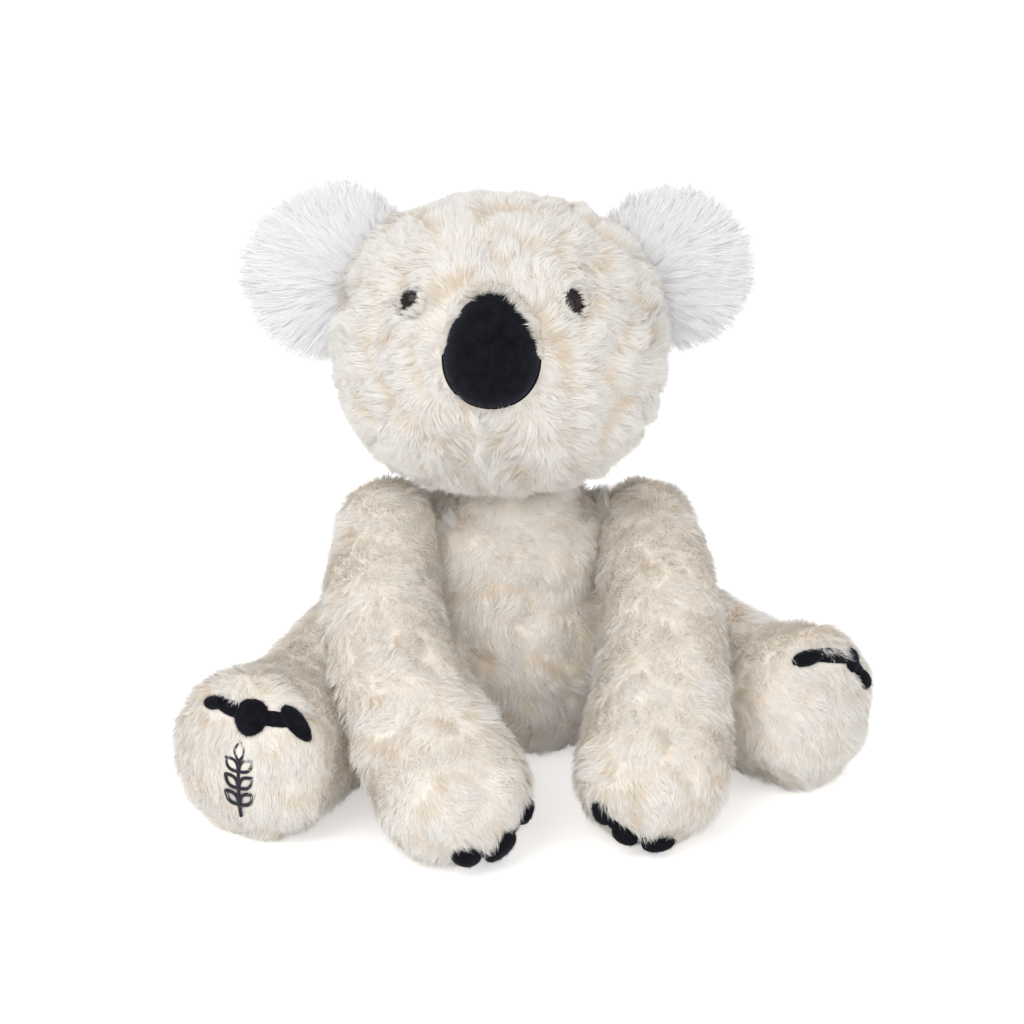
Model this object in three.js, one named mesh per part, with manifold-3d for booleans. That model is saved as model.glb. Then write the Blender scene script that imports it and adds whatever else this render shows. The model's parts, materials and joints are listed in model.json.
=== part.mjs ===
// Plush koala: a seated soft toy about 205 mm tall, in millimetres, +Z up, facing -Y.
// The origin is the middle of the flat seat that it rests on. The toy's own left side is +X.
// Every limb is a sewn plush skin over its stuffing, and the seat and the four paws hold a bag of beads.

import * as THREE from "three";
import { mergeVertices } from "three/addons/utils/BufferGeometryUtils.js";
import Module from "manifold-3d";

const wasm = await Module();
wasm.setup();

const degrees = Math.PI / 180;

// Shared sizes
const gap = 0.35; // clearance between neighbouring pieces
const turningGap = 0.6; // clearance where round pieces turn in each other
const skinWall = 3; // plush fabric with its seam allowance
const seamOpeningShare = 0.5; // of the limb's radius: the opening that it is stuffed through
const footprintCut = 0.5; // how far each paw is pressed flat where it lies on the ground
const overrun = 200; // reach of a cutting block

// Torso: a pear with a domed neck on top
const hipHalfWidth = 45;
const chestHalfWidth = 38;
const hipHalfDepth = 40;
const chestHalfDepth = 31;
const hipHeight = 34;
const chestHeight = 66;
const chestDomeShare = 0.78;
const seatBagDepth = 20; // height of the bead bag in the seat, above the skin
const neckHeight = 79; // pivot of the neck above the ground
const neckForward = 3;
const neckRadius = 24;
const torsoYaw = 10 * degrees; // the body sits turned towards its own left

// Head: a wide rounded box of plush with a low muzzle
const headHalfWidth = 55.5;
const headHalfDepth = 51;
const headHalfHeight = 50;
const headRise = 67; // centre of the head above the neck pivot
const headForward = 5; // centre of the head in front of the neck pivot
const headToRight = 4; // the head sits a little towards the toy's right arm
const headRoundness = 2.35; // 2 is an ellipsoid, higher is boxier
const headPitch = 16 * degrees;
const headYaw = -3 * degrees;
const muzzleSwell = 4;
const muzzleSpread = 32 * degrees;
const muzzleDrop = 12 * degrees;

// Nose: a stuffed egg of velour, wider below its middle
const noseHalfWidth = 16.2;
const noseHalfHeight = 19.8;
const noseHalfDepth = 15;
const noseSink = 2; // centre of the egg below the muzzle's surface
const noseDrop = 3.2;
const noseTaper = 0.16;

// Safety eyes: a dome on a shank through the skin, held by a washer inside
const eyeRadius = 5;
const eyeDomeShare = 0.72;
const eyeSideways = 26.5;
const eyeRise = 12.5;
const eyeShankRadius = 1.6;
const eyeShankLength = 11;
const washerRadius = 6;
const washerThickness = 1.6;

// Ears: flat round flaps sewn to the sides of the head
const earRadius = 23;
const earHalfThickness = 6.5;
const earSideways = 58;
const earRise = 28;
const earBack = 11;
const earTurn = 14 * degrees; // the flap's face turns outward
const earSeamShare = 0.45; // where the seam line lies, from the ear's middle towards the head
const earSwing = 20 * degrees;

// Arms: stuffed tubes from the shoulder to a rounded paw that rests on the ground
const shoulderSpread = 46;
const shoulderForward = 12;
const shoulderRadius = 17.5;
const elbowRadius = 19.5;
const wristRadius = 21.5;
const handRadius = 24.5;
const handHeightShare = 0.93;
const handDomeShare = 0.9;
const elbowShare = 0.4; // places along the arm
const wristShare = 0.72;
const rightShoulderHeight = 81;
const leftShoulderHeight = 76;
const rightHandReach = 91; // how far the hand lies in front of its shoulder
const leftHandReach = 93;
const rightHandInward = 24; // and how far towards the toy's middle
const leftHandInward = 1;
const rightArmBowOut = 11; // how far the arm bows outward and upward on its way
const leftArmBowOut = 5;
const rightArmBowUp = 4;
const leftArmBowUp = 6;
const armRaise = 65 * degrees;
const raisedUp = 25 * degrees; // the line from shoulder to hand when the arm is up

// Legs: stuffed tubes from the hip to an upright foot with a flattened sole
const thighRadius = 28.5;
const calfRadius = 23;
const ankleRadius = 23.5;
const footRadius = 27.5;
const footWidthShare = 0.96;
const soleDomeShare = 0.5;
const calfShare = 0.38; // places along the leg
const ankleShare = 0.7;
const hipSpread = 46;
const hipForward = 4;
const rightLegLength = 90; // from the hip to the middle of the foot
const leftLegLength = 78;
const legDrop = 60 * degrees;

// Claws: one strip of velour with three lobes on each paw
const clawHalfLength = 6.5;
const clawHalfWidth = 5;
const clawHalfThickness = 3.6;
const clawStripRadius = 3;
const clawReachShare = 0.35; // how far a lobe's middle lies past the strip
const clawSeat = 2; // how far the strip's middle stands above the paw's skin
const handClawSpread = 32 * degrees; // from one lobe to the next
const footClawSpread = 40 * degrees;
const clawRimShare = 0.78; // the strip's place on the sole, from its middle to its rim
const clawStripUp = 24 * degrees; // how far the strip on a hand climbs towards the inside
const clawLowest = -0.15; // steepest way down of a lobe that lies on the ground

// Facets of the outer forms and of what fills them: sides, then rings along and rings in each dome
const torsoFacets = [28, 6, 5];
const torsoFillFacets = [16, 3, 5];
const limbFacets = [18, 10, 5];
const limbFillFacets = [12, 6, 3];
const headFacets = [30, 20];
const headFillFacets = [16, 10];
const neckFacets = [22, 12];
const noseFacets = [20, 12];
const earFacets = [20, 10];
const eyeFacets = [14, 8];
const clawFacets = [8, 5];
const clawStripFacets = [6, 4];
const roundSides = 16;
const sweepTurns = 6; // copies of a neighbour that clear a piece's whole swing

const plush = { color: 0xe9e3d8, roughness: 0.95, metalness: 0 };
const whitePlush = { color: 0xf3f4f6, roughness: 0.95, metalness: 0 };
const velour = { color: 0x14151b, roughness: 0.85, metalness: 0 };
const eyePlastic = { color: 0x1d120e, roughness: 0.15, metalness: 0 };
const washerPlastic = { color: 0xe6e6e2, roughness: 0.5, metalness: 0 };
const fibre = { color: 0xfbfbf8, roughness: 0.9, metalness: 0 };
const beadCloth = { color: 0xd8d2c4, roughness: 0.9, metalness: 0 };

const upward = new THREE.Vector3(0, 0, 1);
const forward = new THREE.Vector3(0, -1, 0);

// How each limb lies: side is -1 for the toy's right and +1 for its left
const armPoses = {
  right: {
    side: -1, height: rightShoulderHeight, reach: rightHandReach, inward: rightHandInward,
    bowOut: rightArmBowOut, bowUp: rightArmBowUp,
    raisedOut: 32 * degrees,
    clawAzimuth: 60 * degrees, clawDrop: 37 * degrees,
  },
  left: {
    side: 1, height: leftShoulderHeight, reach: leftHandReach, inward: leftHandInward,
    bowOut: leftArmBowOut, bowUp: leftArmBowUp,
    raisedOut: 56 * degrees,
    clawAzimuth: 22 * degrees, clawDrop: 50 * degrees,
  },
};
const legPoses = {
  right: {
    side: -1, length: rightLegLength, azimuth: 27.5 * degrees, clawRoll: -16 * degrees,
  },
  left: { side: 1, length: leftLegLength, azimuth: 47 * degrees, clawRoll: -28 * degrees },
};

// Turns a three.js geometry into a solid that can be joined and cut.
function solid(geometry) {
  const bare = geometry.clone();
  bare.deleteAttribute("normal");
  bare.deleteAttribute("uv");
  const merged = mergeVertices(bare);
  return new wasm.Manifold(new wasm.Mesh({
    numProp: 3,
    vertProperties: Float32Array.from(merged.getAttribute("position").array),
    triVerts: Uint32Array.from(merged.index.array),
  }));
}

// Turns a solid back into a three.js geometry.
function geometryOf(body) {
  const mesh = body.getMesh();
  const geometry = new THREE.BufferGeometry();
  const places = new Float32Array(mesh.vertProperties);
  geometry.setAttribute("position", new THREE.BufferAttribute(places, mesh.numProp));
  geometry.setIndex(new THREE.BufferAttribute(new Uint32Array(mesh.triVerts), 1));
  return geometry;
}

// Moves every vertex of a unit sphere whose poles lie on Z.
function warpedSphere(sides, rings, place) {
  const geometry = new THREE.SphereGeometry(1, sides, rings).rotateX(Math.PI / 2);
  const position = geometry.getAttribute("position");
  const vertex = new THREE.Vector3();
  for (let i = 0; i < position.count; i++) {
    vertex.fromBufferAttribute(position, i);
    const moved = place(vertex);
    position.setXYZ(i, moved.x, moved.y, moved.z);
  }
  return geometry;
}

// A stuffed form: an oval section carried along a line of centres, with a dome at each end.
// Each station has its centre at, its half width wide and its half height tall. grow makes every
// surface stand further out, or further in where it is negative.
function stuffedForm({ stations, facing, startDome, endDome, grow, sides, steps, domeRings }) {
  const rings = steps + 2 * domeRings;
  const line = new THREE.CatmullRomCurve3(stations.map((station) => station.at));
  const halves = new THREE.CubicInterpolant(
    stations.map((station, index) => index / (stations.length - 1)),
    stations.flatMap((station) => [station.wide, station.tall]), 2,
  );
  halves.settings = { endingStart: THREE.ZeroSlopeEnding, endingEnd: THREE.ZeroSlopeEnding };
  return warpedSphere(sides, rings, (vertex) => {
    const ring = Math.acos(THREE.MathUtils.clamp(-vertex.z, -1, 1)) / Math.PI * rings;
    const share = THREE.MathUtils.clamp((ring - domeRings) / steps, 0, 1);
    const centre = line.getPoint(share);
    const [wide, tall] = halves.evaluate(share);
    const along = line.getTangent(share);
    const across = facing.clone().cross(along).normalize();
    const over = along.clone().cross(across);
    const startLean = Math.max(0, 1 - ring / domeRings) * Math.PI / 2;
    const endLean = Math.max(0, 1 - (rings - ring) / domeRings) * Math.PI / 2;
    const width = (wide + grow) * Math.cos(startLean) * Math.cos(endLean);
    const height = (tall + grow) * Math.cos(startLean) * Math.cos(endLean);
    const dome = Math.sin(endLean) * (wide * endDome + grow)
      - Math.sin(startLean) * (wide * startDome + grow);
    const turn = Math.atan2(vertex.y, vertex.x);
    return centre
      .addScaledVector(across, Math.cos(turn) * width)
      .addScaledVector(over, Math.sin(turn) * height)
      .addScaledVector(along, dome);
  });
}

// An ellipsoid with its half sizes along its own X, Y and Z, put in place by a matrix.
function ellipsoid(halfX, halfY, halfZ, sides, rings, matrix) {
  return new THREE.SphereGeometry(1, sides, rings).scale(halfX, halfY, halfZ).applyMatrix4(matrix);
}

// A matrix that moves a shape's origin to a place and turns its +Z to a direction.
function standing(place, direction) {
  const turn = new THREE.Quaternion().setFromUnitVectors(upward, direction.clone().normalize());
  return new THREE.Matrix4().makeRotationFromQuaternion(turn).setPosition(place);
}

// A matrix that turns everything about a line through a point.
function turnAbout(pivot, axis, angle) {
  return new THREE.Matrix4().makeTranslation(pivot)
    .multiply(new THREE.Matrix4().makeRotationAxis(axis, angle))
    .multiply(new THREE.Matrix4().makeTranslation(pivot.clone().negate()));
}

// The space that a body sweeps, seen from a piece that turns from one angle to another on a hinge.
function sweptBy(body, hinge, from, to) {
  const geometry = geometryOf(body);
  let swept = body;
  for (let i = 0; i <= sweepTurns; i++) {
    const angle = THREE.MathUtils.lerp(from, to, i / sweepTurns);
    const turned = geometry.clone().applyMatrix4(turnAbout(hinge.pivot, hinge.axis, -angle));
    swept = swept.add(solid(turned));
  }
  return swept;
}

// A block that fills everything on the side of a plane that its normal points to.
function beyond(place, normal) {
  const block = new THREE.BoxGeometry(1, 1, 1).translate(0, 0, 1 / 2);
  block.scale(2 * overrun, 2 * overrun, overrun);
  return solid(block.applyMatrix4(standing(place, normal)));
}

const ground = beyond(new THREE.Vector3(0, 0, 0), new THREE.Vector3(0, 0, -1));

// Torso
const neckPivot = new THREE.Vector3(0, -neckForward, neckHeight);

function neckBall(grow) {
  const radius = neckRadius + grow;
  const place = new THREE.Matrix4().setPosition(neckPivot);
  return solid(ellipsoid(radius, radius, radius, ...neckFacets, place));
}

function torsoForm(grow, sides, steps, domeRings) {
  const pear = stuffedForm({
    stations: [
      { at: new THREE.Vector3(0, 0, hipHeight), wide: hipHalfWidth, tall: hipHalfDepth },
      { at: new THREE.Vector3(0, 0, chestHeight), wide: chestHalfWidth, tall: chestHalfDepth },
    ],
    facing: forward, startDome: 1, endDome: chestDomeShare, grow, sides, steps, domeRings,
  });
  return solid(pear.rotateZ(torsoYaw));
}

const torsoOuter = torsoForm(0, ...torsoFacets).add(neckBall(0));
const torsoCutter = torsoForm(turningGap, ...torsoFacets).add(neckBall(gap)).subtract(
  beyond(new THREE.Vector3(0, 0, -gap), new THREE.Vector3(0, 0, -1)),
);
const seatTop = new THREE.Vector3(0, 0, skinWall + seatBagDepth);
const aboveSkin = new THREE.Vector3(0, 0, skinWall);
const torsoCavity = torsoForm(-skinWall, ...torsoFillFacets).add(neckBall(-skinWall))
  .subtract(beyond(aboveSkin, upward.clone().negate()));
const torsoFilling = torsoForm(-skinWall - gap, ...torsoFillFacets)
  .subtract(beyond(new THREE.Vector3(0, 0, skinWall + gap), upward.clone().negate()));
const neckOpening = beyond(
  new THREE.Vector3(0, 0, neckHeight + neckRadius - skinWall - gap), upward,
);

const torsoSkin = torsoOuter.subtract(ground).subtract(torsoCavity).subtract(neckOpening);
const neckWad = neckBall(-skinWall - turningGap);
const torsoStuffing = torsoFilling.subtract(neckBall(-skinWall))
  .subtract(beyond(seatTop.clone().setZ(seatTop.z + gap), upward.clone().negate()));
const seatBag = torsoFilling.subtract(beyond(seatTop, upward));

// Head, in a frame whose -Y looks along the nose
const headCentre = new THREE.Vector3(-headToRight, -neckForward - headForward, neckHeight + headRise);
const headFrame = new THREE.Matrix4()
  .makeRotationFromEuler(new THREE.Euler(-headPitch, 0, headYaw, "ZXY")).setPosition(headCentre);

// Distance from the head's centre to its surface along a unit direction.
function headReach(direction, grow) {
  const power = headRoundness;
  const sum = (Math.abs(direction.x) / (headHalfWidth + grow)) ** power
    + (Math.abs(direction.y) / (headHalfDepth + grow)) ** power
    + (Math.abs(direction.z) / (headHalfHeight + grow)) ** power;
  const muzzle = new THREE.Vector3(0, -Math.cos(muzzleDrop), -Math.sin(muzzleDrop));
  const away = direction.angleTo(muzzle) / muzzleSpread;
  return sum ** (-1 / power) + muzzleSwell * Math.exp(-away * away);
}

function headForm(grow, sides, rings) {
  const form = warpedSphere(sides, rings, (vertex) => {
    const direction = vertex.clone().normalize();
    return direction.multiplyScalar(headReach(direction, grow));
  });
  return solid(form.applyMatrix4(headFrame));
}

// A place on the head's surface straight ahead of a spot on the face, and the way out from it.
function onFace(sideways, rise) {
  const direction = new THREE.Vector3(sideways, -headHalfDepth, rise).normalize();
  for (let i = 0; i < 8; i++) {
    const reach = headReach(direction, 0);
    direction.set(sideways / reach, 0, rise / reach);
    direction.y = -Math.sqrt(1 - direction.lengthSq());
  }
  const place = direction.clone().multiplyScalar(headReach(direction, 0));
  const slope = (part, half) => Math.sign(part) * (Math.abs(part) / half) ** (headRoundness - 1) / half;
  const out = new THREE.Vector3(
    slope(direction.x, headHalfWidth),
    slope(direction.y, headHalfDepth),
    slope(direction.z, headHalfHeight),
  ).normalize();
  return { place: place.applyMatrix4(headFrame), out: out.transformDirection(headFrame) };
}

const headOuter = headForm(0, ...headFacets);
const headCutter = headForm(gap, ...headFacets);
const headCavity = headForm(-skinWall, ...headFillFacets);

function eyeParts(side) {
  const { place, out } = onFace(side * eyeSideways, eyeRise);
  const dome = ellipsoid(eyeRadius, eyeRadius, eyeRadius * eyeDomeShare, ...eyeFacets,
    standing(place, out));
  const shankAt = (grow) => {
    const shank = new THREE.CylinderGeometry(1, 1, 1, roundSides / 2).rotateX(Math.PI / 2);
    shank.translate(0, 0, -1 / 2);
    shank.scale(eyeShankRadius + grow, eyeShankRadius + grow, eyeShankLength + grow);
    return solid(shank.applyMatrix4(standing(place, out)));
  };
  const washerAt = (grow) => {
    const washer = new THREE.CylinderGeometry(1, 1, 1, roundSides).rotateX(Math.PI / 2);
    washer.scale(washerRadius + grow, washerRadius + grow, washerThickness + 2 * grow);
    const depth = skinWall + 2 * gap + washerThickness + washerRadius ** 2 / headHalfHeight;
    return solid(washer.applyMatrix4(standing(place.clone().addScaledVector(out, -depth), out)));
  };
  const eye = solid(dome).subtract(headCutter).add(shankAt(0));
  const washer = washerAt(0).subtract(shankAt(gap));
  return { eye, washer, room: washerAt(gap).add(shankAt(gap)) };
}

const eyes = { right: eyeParts(-1), left: eyeParts(1) };
const headSkin = headOuter.subtract(neckBall(turningGap)).subtract(headCavity)
  .subtract(eyes.right.room).subtract(eyes.left.room);
const headStuffing = headForm(-skinWall - gap, ...headFillFacets).subtract(neckBall(turningGap))
  .subtract(eyes.right.room).subtract(eyes.left.room);

function noseForm() {
  const { place, out } = onFace(0, -noseDrop);
  const egg = warpedSphere(...noseFacets, (vertex) => new THREE.Vector3(
    vertex.x * noseHalfWidth * (1 - noseTaper * vertex.z),
    vertex.y * noseHalfDepth,
    vertex.z * noseHalfHeight,
  ));
  const frame = headFrame.clone().setPosition(place.addScaledVector(out, -noseSink));
  return solid(egg.applyMatrix4(frame)).subtract(headCutter);
}

// Ears
function earHinge(side) {
  const centre = new THREE.Vector3(side * earSideways, earBack, earRise);
  const inward = new THREE.Vector3(-side * earSideways, 0, -earRise).normalize();
  const pivot = centre.clone().addScaledVector(inward, earRadius * earSeamShare).applyMatrix4(headFrame);
  const axis = new THREE.Vector3(-side * earRise, 0, earSideways).transformDirection(headFrame);
  return { centre: centre.applyMatrix4(headFrame), pivot, axis };
}

function earForm(side) {
  const hinge = earHinge(side);
  const face = new THREE.Vector3(side * Math.sin(earTurn), -Math.cos(earTurn), 0);
  const flap = ellipsoid(earRadius, earRadius, earHalfThickness, ...earFacets,
    standing(hinge.centre, face.transformDirection(headFrame)));
  const head = headForm(turningGap, ...headFacets);
  return solid(flap).subtract(sweptBy(head, hinge, -earSwing, earSwing));
}

// Limbs
function armRoute({ side, height, reach, inward, bowOut, bowUp }) {
  const shoulder = new THREE.Vector3(side * shoulderSpread, -shoulderForward, height)
    .applyAxisAngle(upward, torsoYaw);
  const handHeight = handRadius * handHeightShare - footprintCut;
  const hand = new THREE.Vector3(shoulder.x - side * inward, shoulder.y - reach, handHeight);
  const bow = (share) => shoulder.clone().lerp(hand, share)
    .add(new THREE.Vector3(side * bowOut, 0, bowUp).multiplyScalar(Math.sin(share * Math.PI)));
  return { shoulder, elbow: bow(elbowShare), wrist: bow(wristShare), hand };
}

function armForm(pose, grow, sides, steps, domeRings) {
  const route = armRoute(pose);
  const form = stuffedForm({
    stations: [
      { at: route.shoulder, wide: shoulderRadius, tall: shoulderRadius },
      { at: route.elbow, wide: elbowRadius, tall: elbowRadius },
      { at: route.wrist, wide: wristRadius, tall: wristRadius },
      { at: route.hand, wide: handRadius, tall: handRadius * handHeightShare },
    ],
    facing: upward, startDome: 1, endDome: handDomeShare, grow, sides, steps, domeRings,
  });
  return solid(form);
}

function armHinge(pose) {
  const route = armRoute(pose);
  const rest = route.hand.clone().sub(route.shoulder).normalize();
  const level = new THREE.Vector3(pose.side * Math.sin(pose.raisedOut), -Math.cos(pose.raisedOut), 0);
  const raised = level.multiplyScalar(Math.cos(raisedUp)).addScaledVector(upward, Math.sin(raisedUp));
  return { pivot: route.shoulder, axis: rest.cross(raised).normalize() };
}

function legRoute({ side, length, azimuth }) {
  const away = new THREE.Vector3(side * Math.sin(azimuth), -Math.cos(azimuth), 0);
  const hip = new THREE.Vector3(side * hipSpread, -hipForward, thighRadius - footprintCut)
    .applyAxisAngle(upward, torsoYaw);
  const along = (share, radius) => hip.clone().addScaledVector(away, length * share)
    .setZ(radius - footprintCut);
  return {
    away, hip, calf: along(calfShare, calfRadius), ankle: along(ankleShare, ankleRadius),
    foot: along(1, footRadius),
  };
}

function legForm(pose, grow, sides, steps, domeRings) {
  const route = legRoute(pose);
  const form = stuffedForm({
    stations: [
      { at: route.hip, wide: thighRadius, tall: thighRadius },
      { at: route.calf, wide: calfRadius, tall: calfRadius },
      { at: route.ankle, wide: ankleRadius, tall: ankleRadius },
      { at: route.foot, wide: footRadius * footWidthShare, tall: footRadius },
    ],
    facing: upward, startDome: 1, endDome: soleDomeShare, grow, sides, steps, domeRings,
  });
  return solid(form);
}

function legHinge(pose) {
  const route = legRoute(pose);
  return { pivot: route.hip, axis: route.away.clone().cross(upward).negate().normalize() };
}

// One strip of velour with three lobes. Each spot of the strip has its place on the paw, the way out
// of the paw and the way that a lobe there points, and every second spot has a lobe.
function clawForm(spots, clearOf) {
  const pieces = [];
  for (const [index, { place, out, along }] of spots.entries()) {
    const across = out.clone().cross(along).normalize();
    const frame = new THREE.Matrix4().makeBasis(across, along.clone().cross(across), along);
    if (index % 2 === 0) {
      const middle = place.clone().addScaledVector(along, clawHalfLength * clawReachShare);
      pieces.push(ellipsoid(clawHalfWidth, clawHalfThickness, clawHalfLength, ...clawFacets,
        frame.setPosition(middle)));
    }
    if (index > 0) {
      const step = place.clone().sub(spots[index - 1].place);
      const middle = place.clone().addScaledVector(step, -1 / 2);
      pieces.push(ellipsoid(clawStripRadius, clawStripRadius, step.length() / 2 + clawStripRadius,
        ...clawStripFacets, standing(middle, step)));
    }
  }
  return pieces.map(solid).reduce((joined, piece) => joined.add(piece))
    .subtract(clearOf).subtract(ground);
}

const clawTurnShares = [-1, -1 / 2, 0, 1 / 2, 1]; // places along the strip, in lobe spacings

function handClaws(pose) {
  const { hand } = armRoute(pose);
  const drop = pose.clawDrop;
  const tip = new THREE.Vector3(-pose.side * Math.sin(pose.clawAzimuth) * Math.cos(drop),
    -Math.cos(pose.clawAzimuth) * Math.cos(drop), -Math.sin(drop));
  const strip = new THREE.Vector3(-pose.side * Math.cos(clawStripUp), 0, Math.sin(clawStripUp));
  strip.addScaledVector(tip, -strip.dot(tip)).normalize();
  const spots = clawTurnShares.map((share) => {
    const turn = share * handClawSpread;
    const out = tip.clone().multiplyScalar(Math.cos(turn)).addScaledVector(strip, Math.sin(turn));
    const along = out.clone().setZ(Math.max(out.z, clawLowest)).normalize();
    const normal = out.clone().cross(strip).cross(along).normalize();
    const place = hand.clone().addScaledVector(out, handRadius * handHeightShare + clawSeat);
    place.z = Math.max(place.z, clawHalfThickness + gap);
    return { place, out: normal, along };
  });
  return clawForm(spots, armForm(pose, gap, ...limbFacets));
}

function footClaws(pose) {
  const { ankle, foot } = legRoute(pose);
  const ahead = foot.clone().sub(ankle).normalize();
  const top = upward.clone().addScaledVector(ahead, -ahead.z).normalize();
  const rim = footRadius * clawRimShare;
  const domeDepth = footRadius * footWidthShare * soleDomeShare;
  const depth = domeDepth * Math.sqrt(1 - clawRimShare ** 2) + clawSeat;
  const spots = clawTurnShares.map((share) => {
    const radial = top.clone().applyAxisAngle(ahead, share * footClawSpread + pose.clawRoll);
    const place = foot.clone().addScaledVector(radial, rim).addScaledVector(ahead, depth);
    const along = radial.clone().negate().addScaledVector(ahead, soleDomeShare).normalize();
    return { place, out: ahead, along };
  });
  return clawForm(spots, legForm(pose, gap, ...limbFacets));
}

const model = new THREE.Group();

// Adds a solid to the toy as one named piece of one material.
function addPiece(name, body, finish) {
  const mesh = new THREE.Mesh(geometryOf(body), new THREE.MeshStandardMaterial(finish));
  mesh.name = name;
  model.add(mesh);
}

// A limb's skin, stuffing and bead bag, cut by what it lies against.
function addLimb(name, form, clearOf, joint, jointRadius, bagStart, bagAlong) {
  const cavity = form(-skinWall, ...limbFillFacets);
  const filling = form(-skinWall - gap, ...limbFillFacets).subtract(clearOf);
  const opening = new THREE.CylinderGeometry(1, 1, 1, roundSides).rotateX(Math.PI / 2);
  opening.translate(0, 0, 1 / 2);
  opening.scale(jointRadius * seamOpeningShare, jointRadius * seamOpeningShare, jointRadius + gap);
  const inward = new THREE.Vector3(-joint.x, -joint.y, 0);
  const skin = form(0, ...limbFacets).subtract(clearOf).subtract(ground).subtract(cavity)
    .subtract(solid(opening.applyMatrix4(standing(joint, inward))));
  const past = bagStart.clone().addScaledVector(bagAlong, gap);
  addPiece(`${name}_skin`, skin, plush);
  addPiece(`${name}_stuffing`, filling.subtract(beyond(bagStart, bagAlong)), fibre);
  addPiece(`${name}_bead_bag`, filling.subtract(beyond(past, bagAlong.clone().negate())), beadCloth);
}

addPiece("torso_skin", torsoSkin, plush);
addPiece("torso_stuffing", torsoStuffing, fibre);
addPiece("seat_bead_bag", seatBag, beadCloth);
addPiece("neck_stuffing", neckWad, fibre);
addPiece("head_skin", headSkin, plush);
addPiece("head_stuffing", headStuffing, fibre);
addPiece("nose", noseForm(), velour);
for (const [name, { eye, washer }] of Object.entries(eyes)) {
  addPiece(`eye_${name}`, eye, eyePlastic);
  addPiece(`eye_washer_${name}`, washer, washerPlastic);
}
for (const [name, side] of Object.entries({ right: -1, left: 1 })) {
  addPiece(`ear_${name}`, earForm(side), whitePlush);
}
for (const [name, pose] of Object.entries(legPoses)) {
  const route = legRoute(pose);
  const clearOf = sweptBy(torsoCutter, legHinge(pose), 0, legDrop);
  addLimb(`leg_${name}`, (...size) => legForm(pose, ...size), clearOf, route.hip, thighRadius,
    route.ankle, route.away);
  addPiece(`leg_${name}_claws`, footClaws(pose), velour);
}
for (const [name, pose] of Object.entries(armPoses)) {
  const route = armRoute(pose);
  const along = route.hand.clone().sub(route.wrist).normalize();
  const clearOf = sweptBy(torsoCutter, armHinge(pose), 0, armRaise)
    .add(legForm(legPoses[name], gap, ...limbFacets));
  addLimb(`arm_${name}`, (...size) => armForm(pose, ...size), clearOf, route.shoulder, shoulderRadius,
    route.wrist, along);
  addPiece(`arm_${name}_claws`, handClaws(pose), velour);
}

export default model;
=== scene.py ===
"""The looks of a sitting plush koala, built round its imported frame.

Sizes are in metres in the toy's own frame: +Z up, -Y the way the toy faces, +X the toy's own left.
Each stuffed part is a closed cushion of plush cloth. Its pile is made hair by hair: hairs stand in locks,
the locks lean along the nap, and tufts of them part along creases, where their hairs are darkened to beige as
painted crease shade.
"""

import json
import logging
import math
from collections.abc import Callable, Sequence
from dataclasses import dataclass, replace
from enum import Enum
from typing import Protocol

import bpy
import numpy as np
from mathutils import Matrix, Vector


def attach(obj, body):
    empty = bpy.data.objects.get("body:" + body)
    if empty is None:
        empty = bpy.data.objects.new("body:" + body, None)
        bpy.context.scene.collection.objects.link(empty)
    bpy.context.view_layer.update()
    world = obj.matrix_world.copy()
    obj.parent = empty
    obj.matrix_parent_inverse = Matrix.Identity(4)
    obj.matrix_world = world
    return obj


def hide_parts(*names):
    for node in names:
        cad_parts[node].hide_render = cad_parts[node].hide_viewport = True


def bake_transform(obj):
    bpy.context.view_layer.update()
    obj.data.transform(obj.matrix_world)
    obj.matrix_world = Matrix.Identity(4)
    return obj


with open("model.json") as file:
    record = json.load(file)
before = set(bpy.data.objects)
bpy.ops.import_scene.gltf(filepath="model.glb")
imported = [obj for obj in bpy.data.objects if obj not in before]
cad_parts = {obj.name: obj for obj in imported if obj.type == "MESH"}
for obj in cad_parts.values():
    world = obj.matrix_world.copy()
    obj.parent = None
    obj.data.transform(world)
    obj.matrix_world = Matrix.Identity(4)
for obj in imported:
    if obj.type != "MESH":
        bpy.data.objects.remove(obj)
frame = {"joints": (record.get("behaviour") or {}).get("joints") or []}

log = logging.getLogger("plush_koala")

Array = np.ndarray
Colour = tuple[float, float, float]
Ways = Callable[[Array], Array]
Room = Callable[[Array], Array]

MM = 0.001
DEGREES = math.pi / 180
UP = np.array((0.0, 0.0, 1.0))
AHEAD = np.array((0.0, -1.0, 0.0))
GOLDEN_TURN = (3 - math.sqrt(5)) / 2
BAKE_MAP = "OFBake"
MOST_TRIANGLES = 195_000

# The gap between a skin and its filling, the gap that the neck turns in, a skin's thickness, how far the
# ground presses a round part flat, and the body's turn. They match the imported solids.
GAP = 0.35 * MM
TURNING_GAP = 0.6 * MM
SKIN_WALL = 3 * MM
FOOTPRINT = 0.5 * MM
TORSO_YAW = 10 * DEGREES


class Side(Enum):
    """A side of the toy, with the sign that X has there."""

    RIGHT = -1
    LEFT = 1

    @property
    def word(self) -> str:
        """The side's name as the nodes spell it."""
        return self.name.lower()


def unit(vectors: Array) -> Array:
    """Vectors divided by their lengths."""
    return vectors / np.linalg.norm(vectors, axis=-1, keepdims=True).clip(1e-12)


def dot(a: Array, b: Array) -> Array:
    """The scalar product of vectors along the last axis, with that axis kept at length 1."""
    return np.sum(a * b, axis=-1, keepdims=True)


def turned(vectors: Array, axis: Array, angle: Array | float) -> Array:
    """Vectors turned about unit axes: v cos a + (k x v) sin a + k (k . v)(1 - cos a)."""
    c, s = np.cos(angle), np.sin(angle)
    return vectors * c + np.cross(axis, vectors) * s + axis * dot(axis, vectors) * (1 - c)


def tangent(vectors: Array, normals: Array) -> Array:
    """The unit part of vectors that lies in the surface with these normals."""
    return unit(vectors - normals * dot(vectors, normals))


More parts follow.
